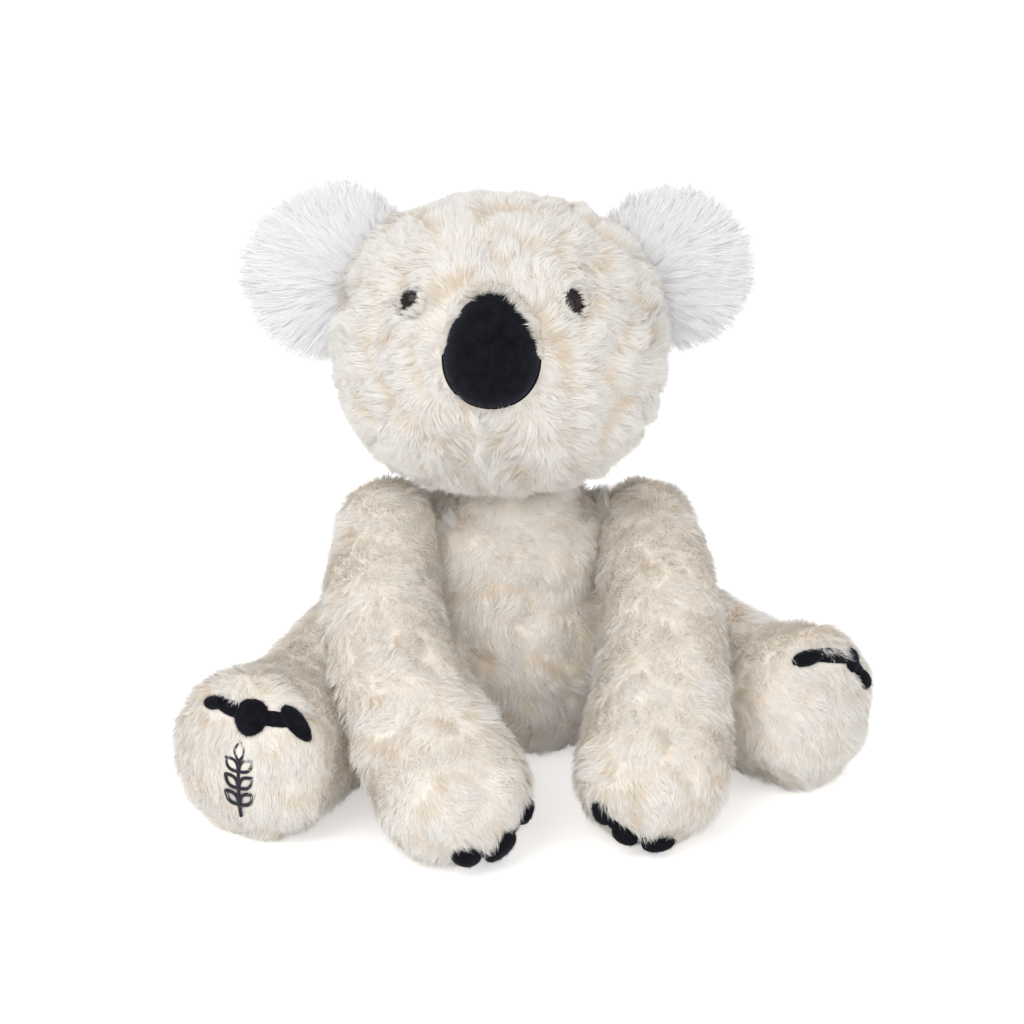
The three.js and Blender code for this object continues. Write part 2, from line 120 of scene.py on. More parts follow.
def axes_for(direction: Array, beside: Array) -> Array:
    """A turn matrix whose third column is the direction, and whose first is square to it and to beside."""
    third = unit(direction)
    first = unit(np.cross(beside, third))
    return np.stack((first, np.cross(third, first), third), axis=1)


def eased(low: float, high: float, value: Array) -> Array:
    """0 below low, 1 above high, and 3t^2 - 2t^3 between them."""
    t = np.clip((value - low) / (high - low), 0, 1)
    return t * t * (3 - 2 * t)


def spline(points: Array, shares: Array) -> Array:
    """Places on a smooth curve through points, at shares from 0 to 1.

    The curve is a centripetal Catmull-Rom: each span is a Hermite cubic whose end slopes weigh the
    neighbouring spans by the square roots of their lengths, with a mirrored point past either end.
    """
    around = np.vstack((2 * points[0] - points[1], points, 2 * points[-1] - points[-2]))
    pace = np.sqrt(np.linalg.norm(np.diff(around, axis=0), axis=1))
    place = np.clip(shares, 0, 1) * (len(points) - 1)
    index = np.minimum(place.astype(int), len(points) - 2)
    t = (place - index)[:, None]
    p0, p1, p2, p3 = (around[index + k] for k in range(4))
    d0, d1, d2 = (pace[index + k][:, None] for k in range(3))
    start = ((p1 - p0) / d0 - (p2 - p0) / (d0 + d1) + (p2 - p1) / d1) * d1
    end = ((p2 - p1) / d1 - (p3 - p1) / (d1 + d2) + (p3 - p2) / d2) * d1
    bend = -3 * p1 + 3 * p2 - 2 * start - end
    return p1 + start * t + bend * t**2 + (2 * p1 - 2 * p2 + start + end) * t**3


def between(values: Array, shares: Array) -> Array:
    """Values at even steps, joined by Hermite cubics that are level at both ends."""
    slopes = np.zeros_like(values)
    slopes[1:-1] = (values[2:] - values[:-2]) / 2
    place = np.clip(shares, 0, 1) * (len(values) - 1)
    index = np.minimum(place.astype(int), len(values) - 2)
    t = place - index
    return (
        values[index] * (1 + 2 * t) * (1 - t) ** 2
        + slopes[index] * t * (1 - t) ** 2
        + values[index + 1] * t * t * (3 - 2 * t)
        + slopes[index + 1] * t * t * (t - 1)
    )


@dataclass(frozen=True)
class Ripple:
    """A smooth random field over space: the mean of sine waves that run in random directions.

    size is about the distance from one crest to the next.
    """

    size: float
    seed: int
    waves: int = 12

    def at(self, points: Array) -> Array:
        """The field at points, mostly from -1 to 1."""
        rng = np.random.default_rng(self.seed)
        ways = unit(rng.normal(size=(self.waves, 3)))
        pitch = 2 * math.pi / self.size * rng.uniform(0.7, 1.3, self.waves)
        shift = rng.uniform(0, 2 * math.pi, self.waves)
        waves = np.sin(points @ (ways * pitch[:, None]).T + shift)
        return waves.sum(axis=-1) / math.sqrt(self.waves)


@dataclass
class Surface:
    """Vertices, faces by their number of corners, and a map place and a normal for each vertex."""

    vertices: Array
    faces: list[Array]
    places: Array | None = None
    normals: Array | None = None

    def triangles(self) -> int:
        """How many triangles the faces make."""
        return sum(len(f) * (f.shape[1] - 2) for f in self.faces)

    def joined(self, *others: "Surface") -> "Surface":
        """This surface and others as one, with their faces renumbered."""
        parts, start, faces = (self, *others), 0, []
        for part in parts:
            faces += [f + start for f in part.faces]
            start += len(part.vertices)
        places, normals = (
            None if getattr(self, kind) is None else np.vstack([getattr(p, kind) for p in parts])
            for kind in ("places", "normals")
        )
        return Surface(np.vstack([p.vertices for p in parts]), faces, places, normals)

    def piece(self, name: str, material: bpy.types.Material) -> bpy.types.Object:
        """Makes the Blender object, with its place in its mesh.

        Args:
            name: the piece's name.
            material: its finish.

        Returns:
            The object, linked to the scene.
        """
        mesh = bpy.data.meshes.new(name)
        corners = np.concatenate([f.ravel() for f in self.faces]).astype(np.int32)
        sizes = np.concatenate([np.full(len(f), f.shape[1]) for f in self.faces])
        mesh.vertices.add(len(self.vertices))
        mesh.vertices.foreach_set("co", self.vertices.astype(np.float32).ravel())
        mesh.loops.add(len(corners))
        mesh.loops.foreach_set("vertex_index", corners)
        mesh.polygons.add(len(sizes))
        starts = np.concatenate(([0], np.cumsum(sizes)[:-1])).astype(np.int32)
        mesh.polygons.foreach_set("loop_start", starts)
        mesh.polygons.foreach_set("use_smooth", np.ones(len(sizes), bool))
        if self.places is not None:
            layer = mesh.uv_layers.new(name=BAKE_MAP)
            layer.uv.foreach_set("vector", self.places[corners].astype(np.float32).ravel())
        mesh.update(calc_edges=True)
        if self.normals is not None:
            mesh.normals_split_custom_set_from_vertices(self.normals.astype(np.float32))
        mesh.materials.append(material)
        piece = bpy.data.objects.new(name, mesh)
        bpy.context.scene.collection.objects.link(piece)
        return piece


class Form:
    """A closed rounded surface over turn, 0 to 1 round it, and along, from one pole to the other."""

    lowest = -1.0
    highest = 1.0

    def at(self, turn: Array, along: Array) -> Array:
        """Places on the surface."""
        raise NotImplementedError

    def depth(self, points: Array) -> Array:
        """How far inside the surface each point lies, about, and below 0 outside."""
        raise NotImplementedError

    def pushed(self, points: Array, gap: float) -> Array:
        """Points, with those inside the surface moved out to the gap from it."""
        raise NotImplementedError

    def normals(self, turn: Array, along: Array) -> Array:
        """Outward unit normals: the slope round the surface crossed with the slope along it."""
        step = 1e-3
        low, high = self.lowest + 2 * step, self.highest - 2 * step
        along = np.clip(along, low, high)
        round_it = self.at(turn + step, along) - self.at(turn - step, along)
        along_it = self.at(turn, along + step) - self.at(turn, along - step)
        return unit(np.cross(round_it, along_it))

    def bands(self) -> tuple[Array, Array, Array]:
        """Edges of thin bands across the surface, the area up to each, and the way along it per edge."""
        edges = np.linspace(self.lowest, self.highest, 241)
        turns = np.arange(36) / 36
        grid = self.at(np.tile(turns, len(edges)), np.repeat(edges, len(turns)))
        rings = grid.reshape(len(edges), len(turns), 3)
        girth = np.linalg.norm(np.roll(rings, -1, axis=1) - rings, axis=2).sum(axis=1)
        slant = np.linalg.norm(np.diff(rings, axis=0), axis=2).mean(axis=1)
        areas = slant * (girth[1:] + girth[:-1]) / 2
        return edges, np.concatenate(([0], np.cumsum(areas))), np.append(slant, slant[-1])

    def spread(self, spacing: float, rng: np.random.Generator, loose: float) -> tuple[Array, Array]:
        """Places spread evenly over the surface: a golden-angle spiral, with its pitch from the area.

        Args:
            spacing: the distance between neighbours.
            rng: where the looseness comes from.
            loose: how far each place strays, as a share of the spacing.

        Returns:
            The turn and the along of each place.
        """
        edges, area, slant = self.bands()
        count = int(area[-1] / spacing**2)
        place = (np.arange(count) + 0.5) / count * area[-1]
        along = np.interp(place, area, edges)
        step = (edges[1] - edges[0]) / np.interp(along, edges, slant)
        girth = np.gradient(area, edges)
        around = np.interp(along, edges, girth) * step
        turn = np.arange(count) * GOLDEN_TURN
        turn += rng.normal(0, loose, count) * spacing / around.clip(spacing)
        along += rng.normal(0, loose, count) * spacing * step
        return turn % 1, np.clip(along, self.lowest, self.highest)

    def skin(
        self, turns: int, rings: int, pressed_by: Sequence["Form"] = (), start: float = -9, end: float = 9
    ) -> Surface:
        """A closed grid over the surface, pressed flat by its neighbours and by the ground.

        Args:
            turns: faces round it.
            rings: faces from pole to pole.
            pressed_by: forms that it is pushed out of.
            start: where along it begins, with a flat end there.
            end: where along it stops, with a flat end there.

        Returns:
            The surface, with a vertex at either pole.
        """
        along = np.linspace(max(self.lowest, start), min(self.highest, end), rings + 1)
        turn = np.arange(turns) / turns
        body = self.at(np.tile(turn, rings - 1), np.repeat(along[1:-1], turns))
        across = self.at(np.tile((0, 0.5), 2), along[[0, 0, -1, -1]])
        poles = np.stack((across[:2].mean(axis=0), across[2:].mean(axis=0)))
        vertices = np.vstack((body, poles))
        for form in pressed_by:
            vertices = form.pushed(vertices, GAP)
        vertices[:, 2] = vertices[:, 2].clip(0)
        ring = np.arange(rings - 1)[:, None] * turns
        here, after = np.arange(turns), (np.arange(turns) + 1) % turns
        low, high = ring[:-1], ring[1:]
        quads = np.stack((low + here, low + after, high + after, high + here), axis=-1).reshape(-1, 4)
        first, last = len(body), len(body) + 1
        start = np.stack((np.full(turns, first), after, here), axis=1)
        end = np.stack((here + ring[-1], after + ring[-1], np.full(turns, last)), axis=1)
        return Surface(vertices, [quads, np.vstack((start, end))])


@dataclass(frozen=True)
class Tube(Form):
    """A stuffed tube: an oval section carried along a smooth line, with a dome at each end.

    The section's half sizes change smoothly from station to station. Along goes from -1 to 0 over the
    first dome, to 1 along the line and to 2 over the last dome. grow moves the whole surface outward.
    """

    centres: Array
    wide: Array
    tall: Array
    facing: Array
    start_dome: float
    end_dome: float
    grow: float = 0.0
    highest = 2.0

    def grown(self, grow: float) -> "Tube":
        """The same form with its surface moved outward."""
        return replace(self, grow=grow)

    def axes(self, share: Array) -> tuple[Array, Array, Array, Array]:
        """The line's places there, and its unit directions across, over and along."""
        step = 1e-4
        centre = spline(self.centres, share)
        along = unit(spline(self.centres, share + step) - spline(self.centres, share - step))
        across = unit(np.cross(self.facing, along))
        return centre, across, np.cross(along, across), along

    def at(self, turn: Array, along: Array) -> Array:
        """Centre + across w cos t + over h sin t + along d, where w and h shrink in the domes."""
        share = np.clip(along, 0, 1)
        start = np.clip(-along, 0, 1) * math.pi / 2
        end = np.clip(along - 1, 0, 1) * math.pi / 2
        centre, across, over, ahead = self.axes(share)
        wide, tall = between(self.wide, share), between(self.tall, share)
        narrow = np.cos(start) * np.cos(end)
        dome = np.sin(end) * (wide * self.end_dome + self.grow)
        dome = dome - np.sin(start) * (wide * self.start_dome + self.grow)
        angle = 2 * math.pi * turn
        return (
            centre
            + across * ((wide + self.grow) * narrow * np.cos(angle))[:, None]
            + over * ((tall + self.grow) * narrow * np.sin(angle))[:, None]
            + ahead * dome[:, None]
        )

    def level(self, points: Array) -> tuple[Array, Array, Array]:
        """The nearest centre, the way from it, and how much of the way to the surface that is."""
        shares = np.linspace(0, 1, 65)
        centre, across, over, along = self.axes(shares)
        ways = points[:, None, :] - centre[None]
        nearest = np.argmin(np.sum(ways**2, axis=2), axis=1)
        way = ways[np.arange(len(points)), nearest]
        wide = between(self.wide, shares)[nearest] + self.grow
        tall = between(self.tall, shares)[nearest] + self.grow
        past = np.sum(way * along[nearest], axis=1)
        reach = np.where(past < 0, wide * self.start_dome, wide * self.end_dome)
        inside = (nearest > 0) & (nearest < len(shares) - 1)
        x = np.sum(way * across[nearest], axis=1) / wide
        y = np.sum(way * over[nearest], axis=1) / tall
        z = np.where(inside, 0, past / reach)
        return centre[nearest], way, np.sqrt(x * x + y * y + z * z)

    def depth(self, points: Array) -> Array:
        """One minus the level, in the distance from centre to surface."""
        _, way, level = self.level(points)
        level = level.clip(1e-3)
        return (1 - level) / level * np.linalg.norm(way, axis=1)

    def pushed(self, points: Array, gap: float) -> Array:
        """Points inside moved away from the nearest centre."""
        centre, way, level = self.level(points)
        length = np.linalg.norm(way, axis=1).clip(1e-6)
        out = (1 / level.clip(1e-3) + gap / length)[:, None]
        close = ((1 - level) / level.clip(1e-3) * length > -gap)[:, None]
        return np.where(close, centre + way * out, points)


@dataclass(frozen=True)
class Egg(Form):
    """An ellipsoid that narrows or widens towards its top, with its own place and turn."""

    centre: Array
    turn: Array
    half_x: float
    half_y: float
    half_z: float
    taper: float = 0.0

    def at(self, turn: Array, along: Array) -> Array:
        """Centre + turn (cos t cos l, sin t cos l, sin l), each of the three by its half size."""
        angle, lean = 2 * math.pi * turn, along * math.pi / 2
        x = np.cos(angle) * np.cos(lean) * self.half_x * (1 - self.taper * np.sin(lean))
        y = np.sin(angle) * np.cos(lean) * self.half_y
        z = np.sin(lean) * self.half_z
        return self.centre + np.stack((x, y, z), axis=1) @ self.turn.T

    def level(self, points: Array) -> Array:
        """How much of the way from the centre to the surface each point is."""
        local = (points - self.centre) @ self.turn
        z = local[:, 2] / self.half_z
        x = local[:, 0] / (self.half_x * (1 - self.taper * z.clip(-1, 1)))
        return np.sqrt(x**2 + (local[:, 1] / self.half_y) ** 2 + z**2).clip(1e-3)

    def depth(self, points: Array) -> Array:
        """The rest of the way to the surface, along the line from the centre."""
        level = self.level(points)
        return (1 - level) / level * np.linalg.norm(points - self.centre, axis=1)

    def pushed(self, points: Array, gap: float) -> Array:
        """Points inside moved away from the centre."""
        way = points - self.centre
        length = np.linalg.norm(way, axis=1).clip(1e-6)
        level = self.level(points)
        close = ((1 - level) / level * length > -gap)[:, None]
        return np.where(close, self.centre + way * (1 / level + gap / length)[:, None], points)


@dataclass(frozen=True)
class Skull(Form):
    """The head: a boxy ellipsoid with a low muzzle, turned up and a little to its right.

    Along a unit direction the surface lies at (|x/a|^p + |y/b|^p + |z/c|^p)^(-1/p), plus the muzzle's
    swell, which dies away from the muzzle's middle as a bell curve.
    """

    centre: Array
    half_width: float = 55.5 * MM
    half_depth: float = 51 * MM
    half_height: float = 50 * MM
    roundness: float = 2.35
    pitch: float = 16 * DEGREES
    yaw: float = -3 * DEGREES
    swell: float = 4 * MM
    swell_spread: float = 32 * DEGREES
    swell_drop: float = 12 * DEGREES
    grow: float = 0.0

    @property
    def turn(self) -> Array:
        """The head's turn: pitched up about X, then turned about Z."""
        pitched = turned(np.eye(3), np.array((1.0, 0, 0)), -self.pitch)
        return turned(pitched, UP, self.yaw).T

    def reach(self, ways: Array) -> Array:
        """Distance from the centre to the surface along unit directions in the head's own frame."""
        halves = np.array((self.half_width, self.half_depth, self.half_height)) + self.grow
        total = np.sum((np.abs(ways) / halves) ** self.roundness, axis=1)
        muzzle = np.array((0, -math.cos(self.swell_drop), -math.sin(self.swell_drop)))
        away = np.arccos(np.clip(ways @ muzzle, -1, 1)) / self.swell_spread
        return total ** (-1 / self.roundness) + self.swell * np.exp(-away * away)

    def at(self, turn: Array, along: Array) -> Array:
        """Centre + turn (direction times reach), over the direction's turn and its rise."""
        angle, rise = 2 * math.pi * turn, along * math.pi / 2
        ways = np.stack((np.cos(rise) * np.cos(angle), np.cos(rise) * np.sin(angle), np.sin(rise)), axis=1)
        return self.centre + (ways * self.reach(ways)[:, None]) @ self.turn.T

    def depth(self, points: Array) -> Array:
        """The rest of the way to the surface, along the line from the centre."""
        local = (points - self.centre) @ self.turn
        return self.reach(unit(local)) - np.linalg.norm(local, axis=1)

    def pushed(self, points: Array, gap: float) -> Array:
        """Points inside moved away from the centre."""
        local = (points - self.centre) @ self.turn
        out = unit(local) * (self.reach(unit(local)) + gap)[:, None]
        close = (self.depth(points) > -gap)[:, None]
        return np.where(close, self.centre + out @ self.turn.T, points)

    def face_place(self, sideways: float, rise: float) -> tuple[Array, Array]:
        """A spot on the face and the way out of it, for its distances from the middle of the face."""
        way = unit(np.array((sideways, -self.half_depth, rise)))
        for _ in range(8):
            reach = self.reach(way[None])[0]
            way = np.array((sideways / reach, 0, rise / reach))
            way[1] = -math.sqrt(1 - way @ way)
        halves = np.array((self.half_width, self.half_depth, self.half_height))
        slope = np.sign(way) * (np.abs(way) / halves) ** (self.roundness - 1) / halves
        place = self.centre + self.turn @ (way * self.reach(way[None])[0])
        return place, self.turn @ unit(slope)


class Wiring:
    """A node tree, filled node by node."""

    def __init__(self, tree: bpy.types.NodeTree) -> None:
        """Takes the tree to fill."""
        self.tree = tree

    def node(self, kind: str, settings: dict | None = None, **inputs: object) -> bpy.types.Node:
        """Adds a node.

        Args:
            kind: its type, without the leading ShaderNode.
            settings: values of its own properties.
            inputs: values or sockets for its inputs, by name with _ for a space, or by in_ and a number.

        Returns:
            The node.
        """
        node = self.tree.nodes.new("ShaderNode" + kind)
        for key, value in (settings or {}).items():
            setattr(node, key, value)
        for key, value in inputs.items():
            socket = node.inputs[int(key[3:]) if key.startswith("in_") else key.replace("_", " ")]
            if isinstance(value, bpy.types.NodeSocket):
                self.tree.links.new(value, socket)
            else:
                socket.default_value = value
        return node


class Shader(Wiring):
    """A material's node tree."""

    def __init__(self, name: str) -> None:
        """Makes an empty material with an output."""
        self.material = bpy.data.materials.new(name)
        self.material.use_nodes = True
        super().__init__(self.material.node_tree)
        self.tree.nodes.clear()
        self.output = self.tree.nodes.new("ShaderNodeOutputMaterial")

    def ramp(self, share: bpy.types.NodeSocket, *stops: tuple[float, Colour]) -> bpy.types.NodeSocket:
        """A colour ramp through the stops, read at share."""
        node = self.node("ValToRGB", Fac=share)
        elements = node.color_ramp.elements
        while len(elements) < len(stops):
            elements.new(0.5)
        for element, (place, colour) in zip(elements, stops, strict=True):
            element.position = place
            element.color = (*colour, 1)
        return node.outputs["Color"]

    def noise(self, scale: float, detail: float = 3, roughness: float = 0.55) -> bpy.types.NodeSocket:
        """Noise over the object's own coordinates, with bumps about 1 / scale metres apart."""
        place = self.node("TexCoord").outputs["Object"]
        node = self.node("TexNoise", Vector=place, Scale=scale, Detail=detail, Roughness=roughness)
        return node.outputs["Fac"]

    def finish(self, shader: bpy.types.Node) -> bpy.types.Material:
        """Links the shader to the output."""
        self.tree.links.new(shader.outputs[0], self.output.inputs["Surface"])
        return self.material


class Finish(Protocol):
    """What a piece is made of."""

    name: str

    def material(self) -> bpy.types.Material:
        """The finish as a material."""


@dataclass(frozen=True)
class PileFinish:
    """Long plush pile. Each hair runs from its root's colour to its tip's, and in creases is darkened towards
    the crease colour, which is painted shade.

    The map's u is the hair's tone, from painted crease shade to crest with random mottle, and its v runs from
    root to tip.
    """

    name: str
    root: Colour
    middle: Colour
    tip: Colour
    # the painted shade that hairs in a crease are darkened towards
    crease: Colour
    sheen: float = 0.25

    def material(self) -> bpy.types.Material:
        """The finish as a material."""
        s = Shader(self.name)
        place = s.node("UVMap", {"uv_map": BAKE_MAP}).outputs["UV"]
        split = s.node("SeparateXYZ", Vector=place)
        strand = s.ramp(split.outputs["Y"], (0.0, self.root), (0.45, self.middle), (1.0, self.tip))
        # Painted crease shade: the hair's colour is multiplied down towards the crease colour by its tone.
        uneven_shade = s.ramp(split.outputs["X"], (0.0, self.crease), (1.0, (1.0, 1.0, 1.0)))
        multiply = {"data_type": "RGBA", "blend_type": "MULTIPLY"}
        shaded_strand = s.node("Mix", multiply, in_0=1.0, in_6=strand, in_7=uneven_shade)
        return s.finish(
            s.node(
                "BsdfPrincipled",
                Base_Color=shaded_strand.outputs[2],
                Roughness=0.8,
                Specular_IOR_Level=0.15,
                Sheen_Weight=self.sheen,
                Sheen_Roughness=0.4,
            )
        )


@dataclass(frozen=True)
class BackingFinish:
    """The knitted cloth that a pile grows from: a fine loopy bump with soft clouds of colour."""

    name: str
    dark: Colour
    light: Colour
    loops: float = 900.0

    def material(self) -> bpy.types.Material:
        """The finish as a material."""
        s = Shader(self.name)
        colour = s.ramp(s.noise(140), (0.35, self.dark), (0.65, self.light))
        place = s.node("TexCoord").outputs["Object"]
        loops = s.node("TexVoronoi", {"feature": "F1"}, Vector=place, Scale=self.loops)
        bump = s.node("Bump", Strength=0.5, Distance=0.3 * MM, Height=loops.outputs["Distance"])
        return s.finish(
            s.node("BsdfPrincipled", Base_Color=colour, Roughness=0.95, Normal=bump.outputs["Normal"])
        )


@dataclass(frozen=True)
class VelourFinish:
    """Short dense pile, nearly black: clouded where it is brushed, with a grain of fine hairs."""

    name: str = "black_velour"
    dark: Colour = (0.0035, 0.0035, 0.0055)
    light: Colour = (0.010, 0.010, 0.015)

    def material(self) -> bpy.types.Material:
        """The finish as a material."""
        s = Shader(self.name)
        colour = s.ramp(s.noise(260, 4), (0.35, self.dark), (0.7, self.light))
        bump = s.node("Bump", Strength=0.6, Distance=0.25 * MM, Height=s.noise(2600, 2))
        return s.finish(
            s.node(
                "BsdfPrincipled",
                Base_Color=colour,
                Roughness=0.95,
                Specular_IOR_Level=0.1,
                Sheen_Weight=0.12,
                Sheen_Roughness=0.45,
                Sheen_Tint=(0.6, 0.65, 0.9, 1),
                Normal=bump.outputs["Normal"],
            )
        )


@dataclass(frozen=True)
class PlasticFinish:
    """Moulded plastic with faint flow clouds in its colour and roughness."""

    name: str
    dark: Colour
    light: Colour
    roughness: float
    specular: float = 0.5
    uneven: float = 0.2

    def material(self) -> bpy.types.Material:
        """The finish as a material."""
        s = Shader(self.name)
        colour = s.ramp(s.noise(420), (0.35, self.dark), (0.65, self.light))
        least, most = self.roughness * (1 - self.uneven), self.roughness * (1 + self.uneven)
        rough = s.node("MapRange", Value=s.noise(900), To_Min=least, To_Max=most)
        return s.finish(
            s.node(
                "BsdfPrincipled",
                Base_Color=colour,
                Roughness=rough.outputs["Result"],
                Specular_IOR_Level=self.specular,
            )
        )


@dataclass(frozen=True)
class ClothFinish:
    """Plain woven lining: threads over and under in two directions."""

    name: str
    dark: Colour
    light: Colour
    threads: float = 130.0

    def material(self) -> bpy.types.Material:
        """The finish as a material."""
        s = Shader(self.name)
        place = s.node("TexCoord").outputs["Object"]
        weft, warp = (
            s.node("TexWave", {"bands_direction": way}, Vector=place, Scale=self.threads).outputs["Fac"]
            for way in "XZ"
        )
        both = s.node("Math", {"operation": "MULTIPLY"}, in_0=weft, in_1=warp)
        colour = s.ramp(both.outputs[0], (0.0, self.dark), (1.0, self.light))
        bump = s.node("Bump", Strength=0.4, Distance=0.2 * MM, Height=both.outputs[0])
        return s.finish(
            s.node("BsdfPrincipled", Base_Color=colour, Roughness=0.9, Normal=bump.outputs["Normal"])
        )


@dataclass(frozen=True)
class ThreadFinish:
    """Twisted embroidery thread."""

    name: str = "dark_thread"
    dark: Colour = (0.004, 0.005, 0.010)
    light: Colour = (0.014, 0.016, 0.028)

    def material(self) -> bpy.types.Material:
        """The finish as a material."""
        s = Shader(self.name)
        colour = s.ramp(s.noise(3000, 2), (0.3, self.dark), (0.7, self.light))
        return s.finish(
            s.node("BsdfPrincipled", Base_Color=colour, Roughness=0.7, Sheen_Weight=0.2, Sheen_Roughness=0.4)
        )


# Each finish's crease colour is painted shade: hairs in a tuft's crease are darkened towards it.
CREAM_PILE = PileFinish(
    "cream_pile",
    root=(0.93, 0.88, 0.81),
    middle=(0.965, 0.945, 0.91),
    tip=(0.98, 0.97, 0.95),
    crease=(0.87, 0.79, 0.685),
    sheen=0.45,
)
FACE_PILE = PileFinish(
    "face_pile",
    root=(0.84, 0.78, 0.7),
    middle=(0.9, 0.86, 0.8),
    tip=(0.95, 0.925, 0.89),
    crease=(0.87, 0.79, 0.685),
    sheen=0.35,
)
WHITE_PILE = PileFinish(
    "white_pile",
    root=(0.93, 0.93, 0.94),
    middle=(0.955, 0.955, 0.962),
    tip=(0.965, 0.966, 0.972),
    crease=(0.96, 0.96, 0.97),
)
DARK_PILE = PileFinish(
    "velour_pile",
    root=(0.002, 0.002, 0.003),
    middle=(0.006, 0.006, 0.009),
    tip=(0.013, 0.013, 0.02),
    crease=(0.6, 0.6, 0.65),
    sheen=0.05,
)
CREAM_BACKING = BackingFinish("cream_backing", (0.84, 0.77, 0.68), (0.90, 0.85, 0.78))
WHITE_BACKING = BackingFinish("white_backing", (0.82, 0.82, 0.84), (0.90, 0.90, 0.92))


@dataclass(frozen=True)
class Pile:
    """One kind of pile, grown hair by hair.

    Locks stand spacing apart. Each lock's hairs rise height off the cloth, lean reach along the nap and
    close up towards the lock's tip. Locks gather into tufts: they lean towards the tuft's middle, lie
    lower at its edge, and each tuft has its own way of lying.

    Attributes:
        height: how far a lock rises off the cloth.
        reach: how far it leans along the nap.
        spacing: the distance between locks.
        lock_radius: the radius of a lock's foot.
        hairs: how many hairs a lock has.
        half_width: half of a hair's width at its root.
        closing: the share by which the hairs close up towards the tip.
        stray: how far a hair's end strays.
        tuft: the distance between tufts.
        gather: how far locks lean towards their tuft's middle, as a share of the way.
        swirl: how far the nap turns from place to place.
        sunk: how deep the roots lie under the cloth's surface.
        floor: the lowest height of a hair.
        levels: the shares of a hair's length at which its ribbon has edges.
        straight: whether the nap also says how far the hairs stand off the surface.
        crease_depth: how much of the tone a crease takes away, as painted shade.
        crown: how much the shading rounds a tuft.
        step: how much a tuft's front stands over its back.
        shortest: the least length of a hair, as a share of the lock's.
        longest: the greatest.
        arch_rise: how high the middle of a hair's curve is drawn, as a share of its rise.
        arch_reach: how far along it is drawn, as a share of its reach.
        valley: how much lower a tuft is at its edge.
        roll: how far a ribbon may turn about its own line.
        taper: how much of its width a ribbon loses towards the tip.
        uneven: how much locks differ in height.
        mottle: how much locks differ in tone.
        hair_mottle: how much a lock's hairs differ in tone.
        glint: how much a hair's own ribbon turns its shading.
    """

    height: float = 4.1 * MM
    reach: float = 5.2 * MM
    spacing: float = 1.66 * MM
    lock_radius: float = 1.25 * MM
    hairs: int = 10
    half_width: float = 0.08 * MM
    closing: float = 0.3
    stray: float = 0.55 * MM
    tuft: float = 10.5 * MM
    gather: float = 0.22
    swirl: float = 50 * DEGREES
    sunk: float = 0.6 * MM
    floor: float = 0.12 * MM
    levels: tuple[float, ...] = (0.0, 0.5, 1.0)
    straight: bool = False
    crease_depth: float = 0.65
    crown: float = 0.9
    step: float = 0.3
    shortest: float = 0.74
    longest: float = 1.06
    arch_rise: float = 0.8
    arch_reach: float = 0.36
    valley: float = 1.0
    roll: float = 40 * DEGREES
    taper: float = 0.55
    uneven: float = 0.07
    mottle: float = 0.08
    hair_mottle: float = 0.07
    glint: float = 0.45

    def undercoat(self, share: float = 0.7, hairs: int = 1) -> "Pile":
        """The dense hair beneath this pile, in broad blades.

        Args:
            share: how far it reaches, as a share of the pile's own reach.
            hairs: how many blades make a lock.

        Returns:
            The undercoat.
        """
        return replace(
            self, height=self.height * 0.55, reach=self.reach * share, spacing=1.0 * MM, lock_radius=0.5 * MM,
            hairs=hairs, half_width=0.26 * MM / math.sqrt(hairs), closing=0.0, stray=0.3 * MM * hairs,
            sunk=0.3 * MM, roll=25 * DEGREES, levels=(0.0, 1.0),
        )

    def comb(self, form: Form, nap: Ways, seed: int, room: Room) -> list[Surface]:
        """Grows the pile on a form.

        A crease lies behind a tuft's middle, and is full from 0.6 of the tuft's size away from it; its hairs
        are darkened there as painted crease shade.

        Args:
            form: the surface that it grows from.
            nap: the way that the pile lies, for places on the surface.
            seed: seeds every random choice.
            room: how much height there is above each place, and below 0 where there is no pile.

        Returns:
            Surfaces that each stay under the most triangles of a piece, in order along the form.
        """
        rng = np.random.default_rng(seed)
        spacing = self.spacing * 1
        turn, along = form.spread(spacing, rng, 0.3)
        root, normal = form.at(turn, along), form.normals(turn, along)
        height = room(root)
        kept = height > 0
        root, normal, height = root[kept], normal[kept], height[kept]
        middle = form.at(*form.spread(self.tuft, rng, 0.35))
        own = np.argmin(((root[:, None, :] - middle[None]) ** 2).sum(axis=2), axis=1)
        inward = middle[own] - root
        edge = np.linalg.norm(inward, axis=1) / self.tuft
        broad, swell, uneven_shade, fine = (
            Ripple(tufts * self.tuft, seed + number).at(root) for number, tufts in enumerate((3.1, 2, 2, 1.1))
        )
        swirl = self.swirl * (broad + 0.3 * fine)
        swirl += rng.normal(0, 0.2, len(middle))[own] * self.swirl + rng.normal(0, 8 * DEGREES, len(root))
        way = unit(nap(root)) if self.straight else tangent(nap(root), normal)
        lie = turned(way, normal, swirl[:, None])
        front = -dot(inward, lie)[:, 0] / self.tuft
        free = np.clip(height / self.height, 0.3, 1.0)
        crest = (1.0 - self.valley * edge**2 + self.step * front) * (1 + 0.12 * swell)
        crest = (crest + rng.normal(0, self.uneven, len(root))).clip(0.35) * free
        rise = normal * (self.height * crest)[:, None]
        run = lie * (self.reach * (1.15 - 0.3 * crest))[:, None]
        tip = root + rise + run + inward * self.gather
        # Painted crease shade: hairs behind a tuft's middle get a lower tone, deeper or shallower along a
        # ripple.
        behind = eased(0.28, 0.6, edge) * eased(-0.1, 0.35, -front)
        tone = 1 - self.crease_depth * behind * (0.7 + 0.5 * uneven_shade)
        tone = tone + rng.normal(0, self.mottle, len(root))
        shade = unit(normal - inward / self.tuft * self.crown)
        return self.split(self.hairs_at(root, normal, lie, tip, tone, shade, rng))

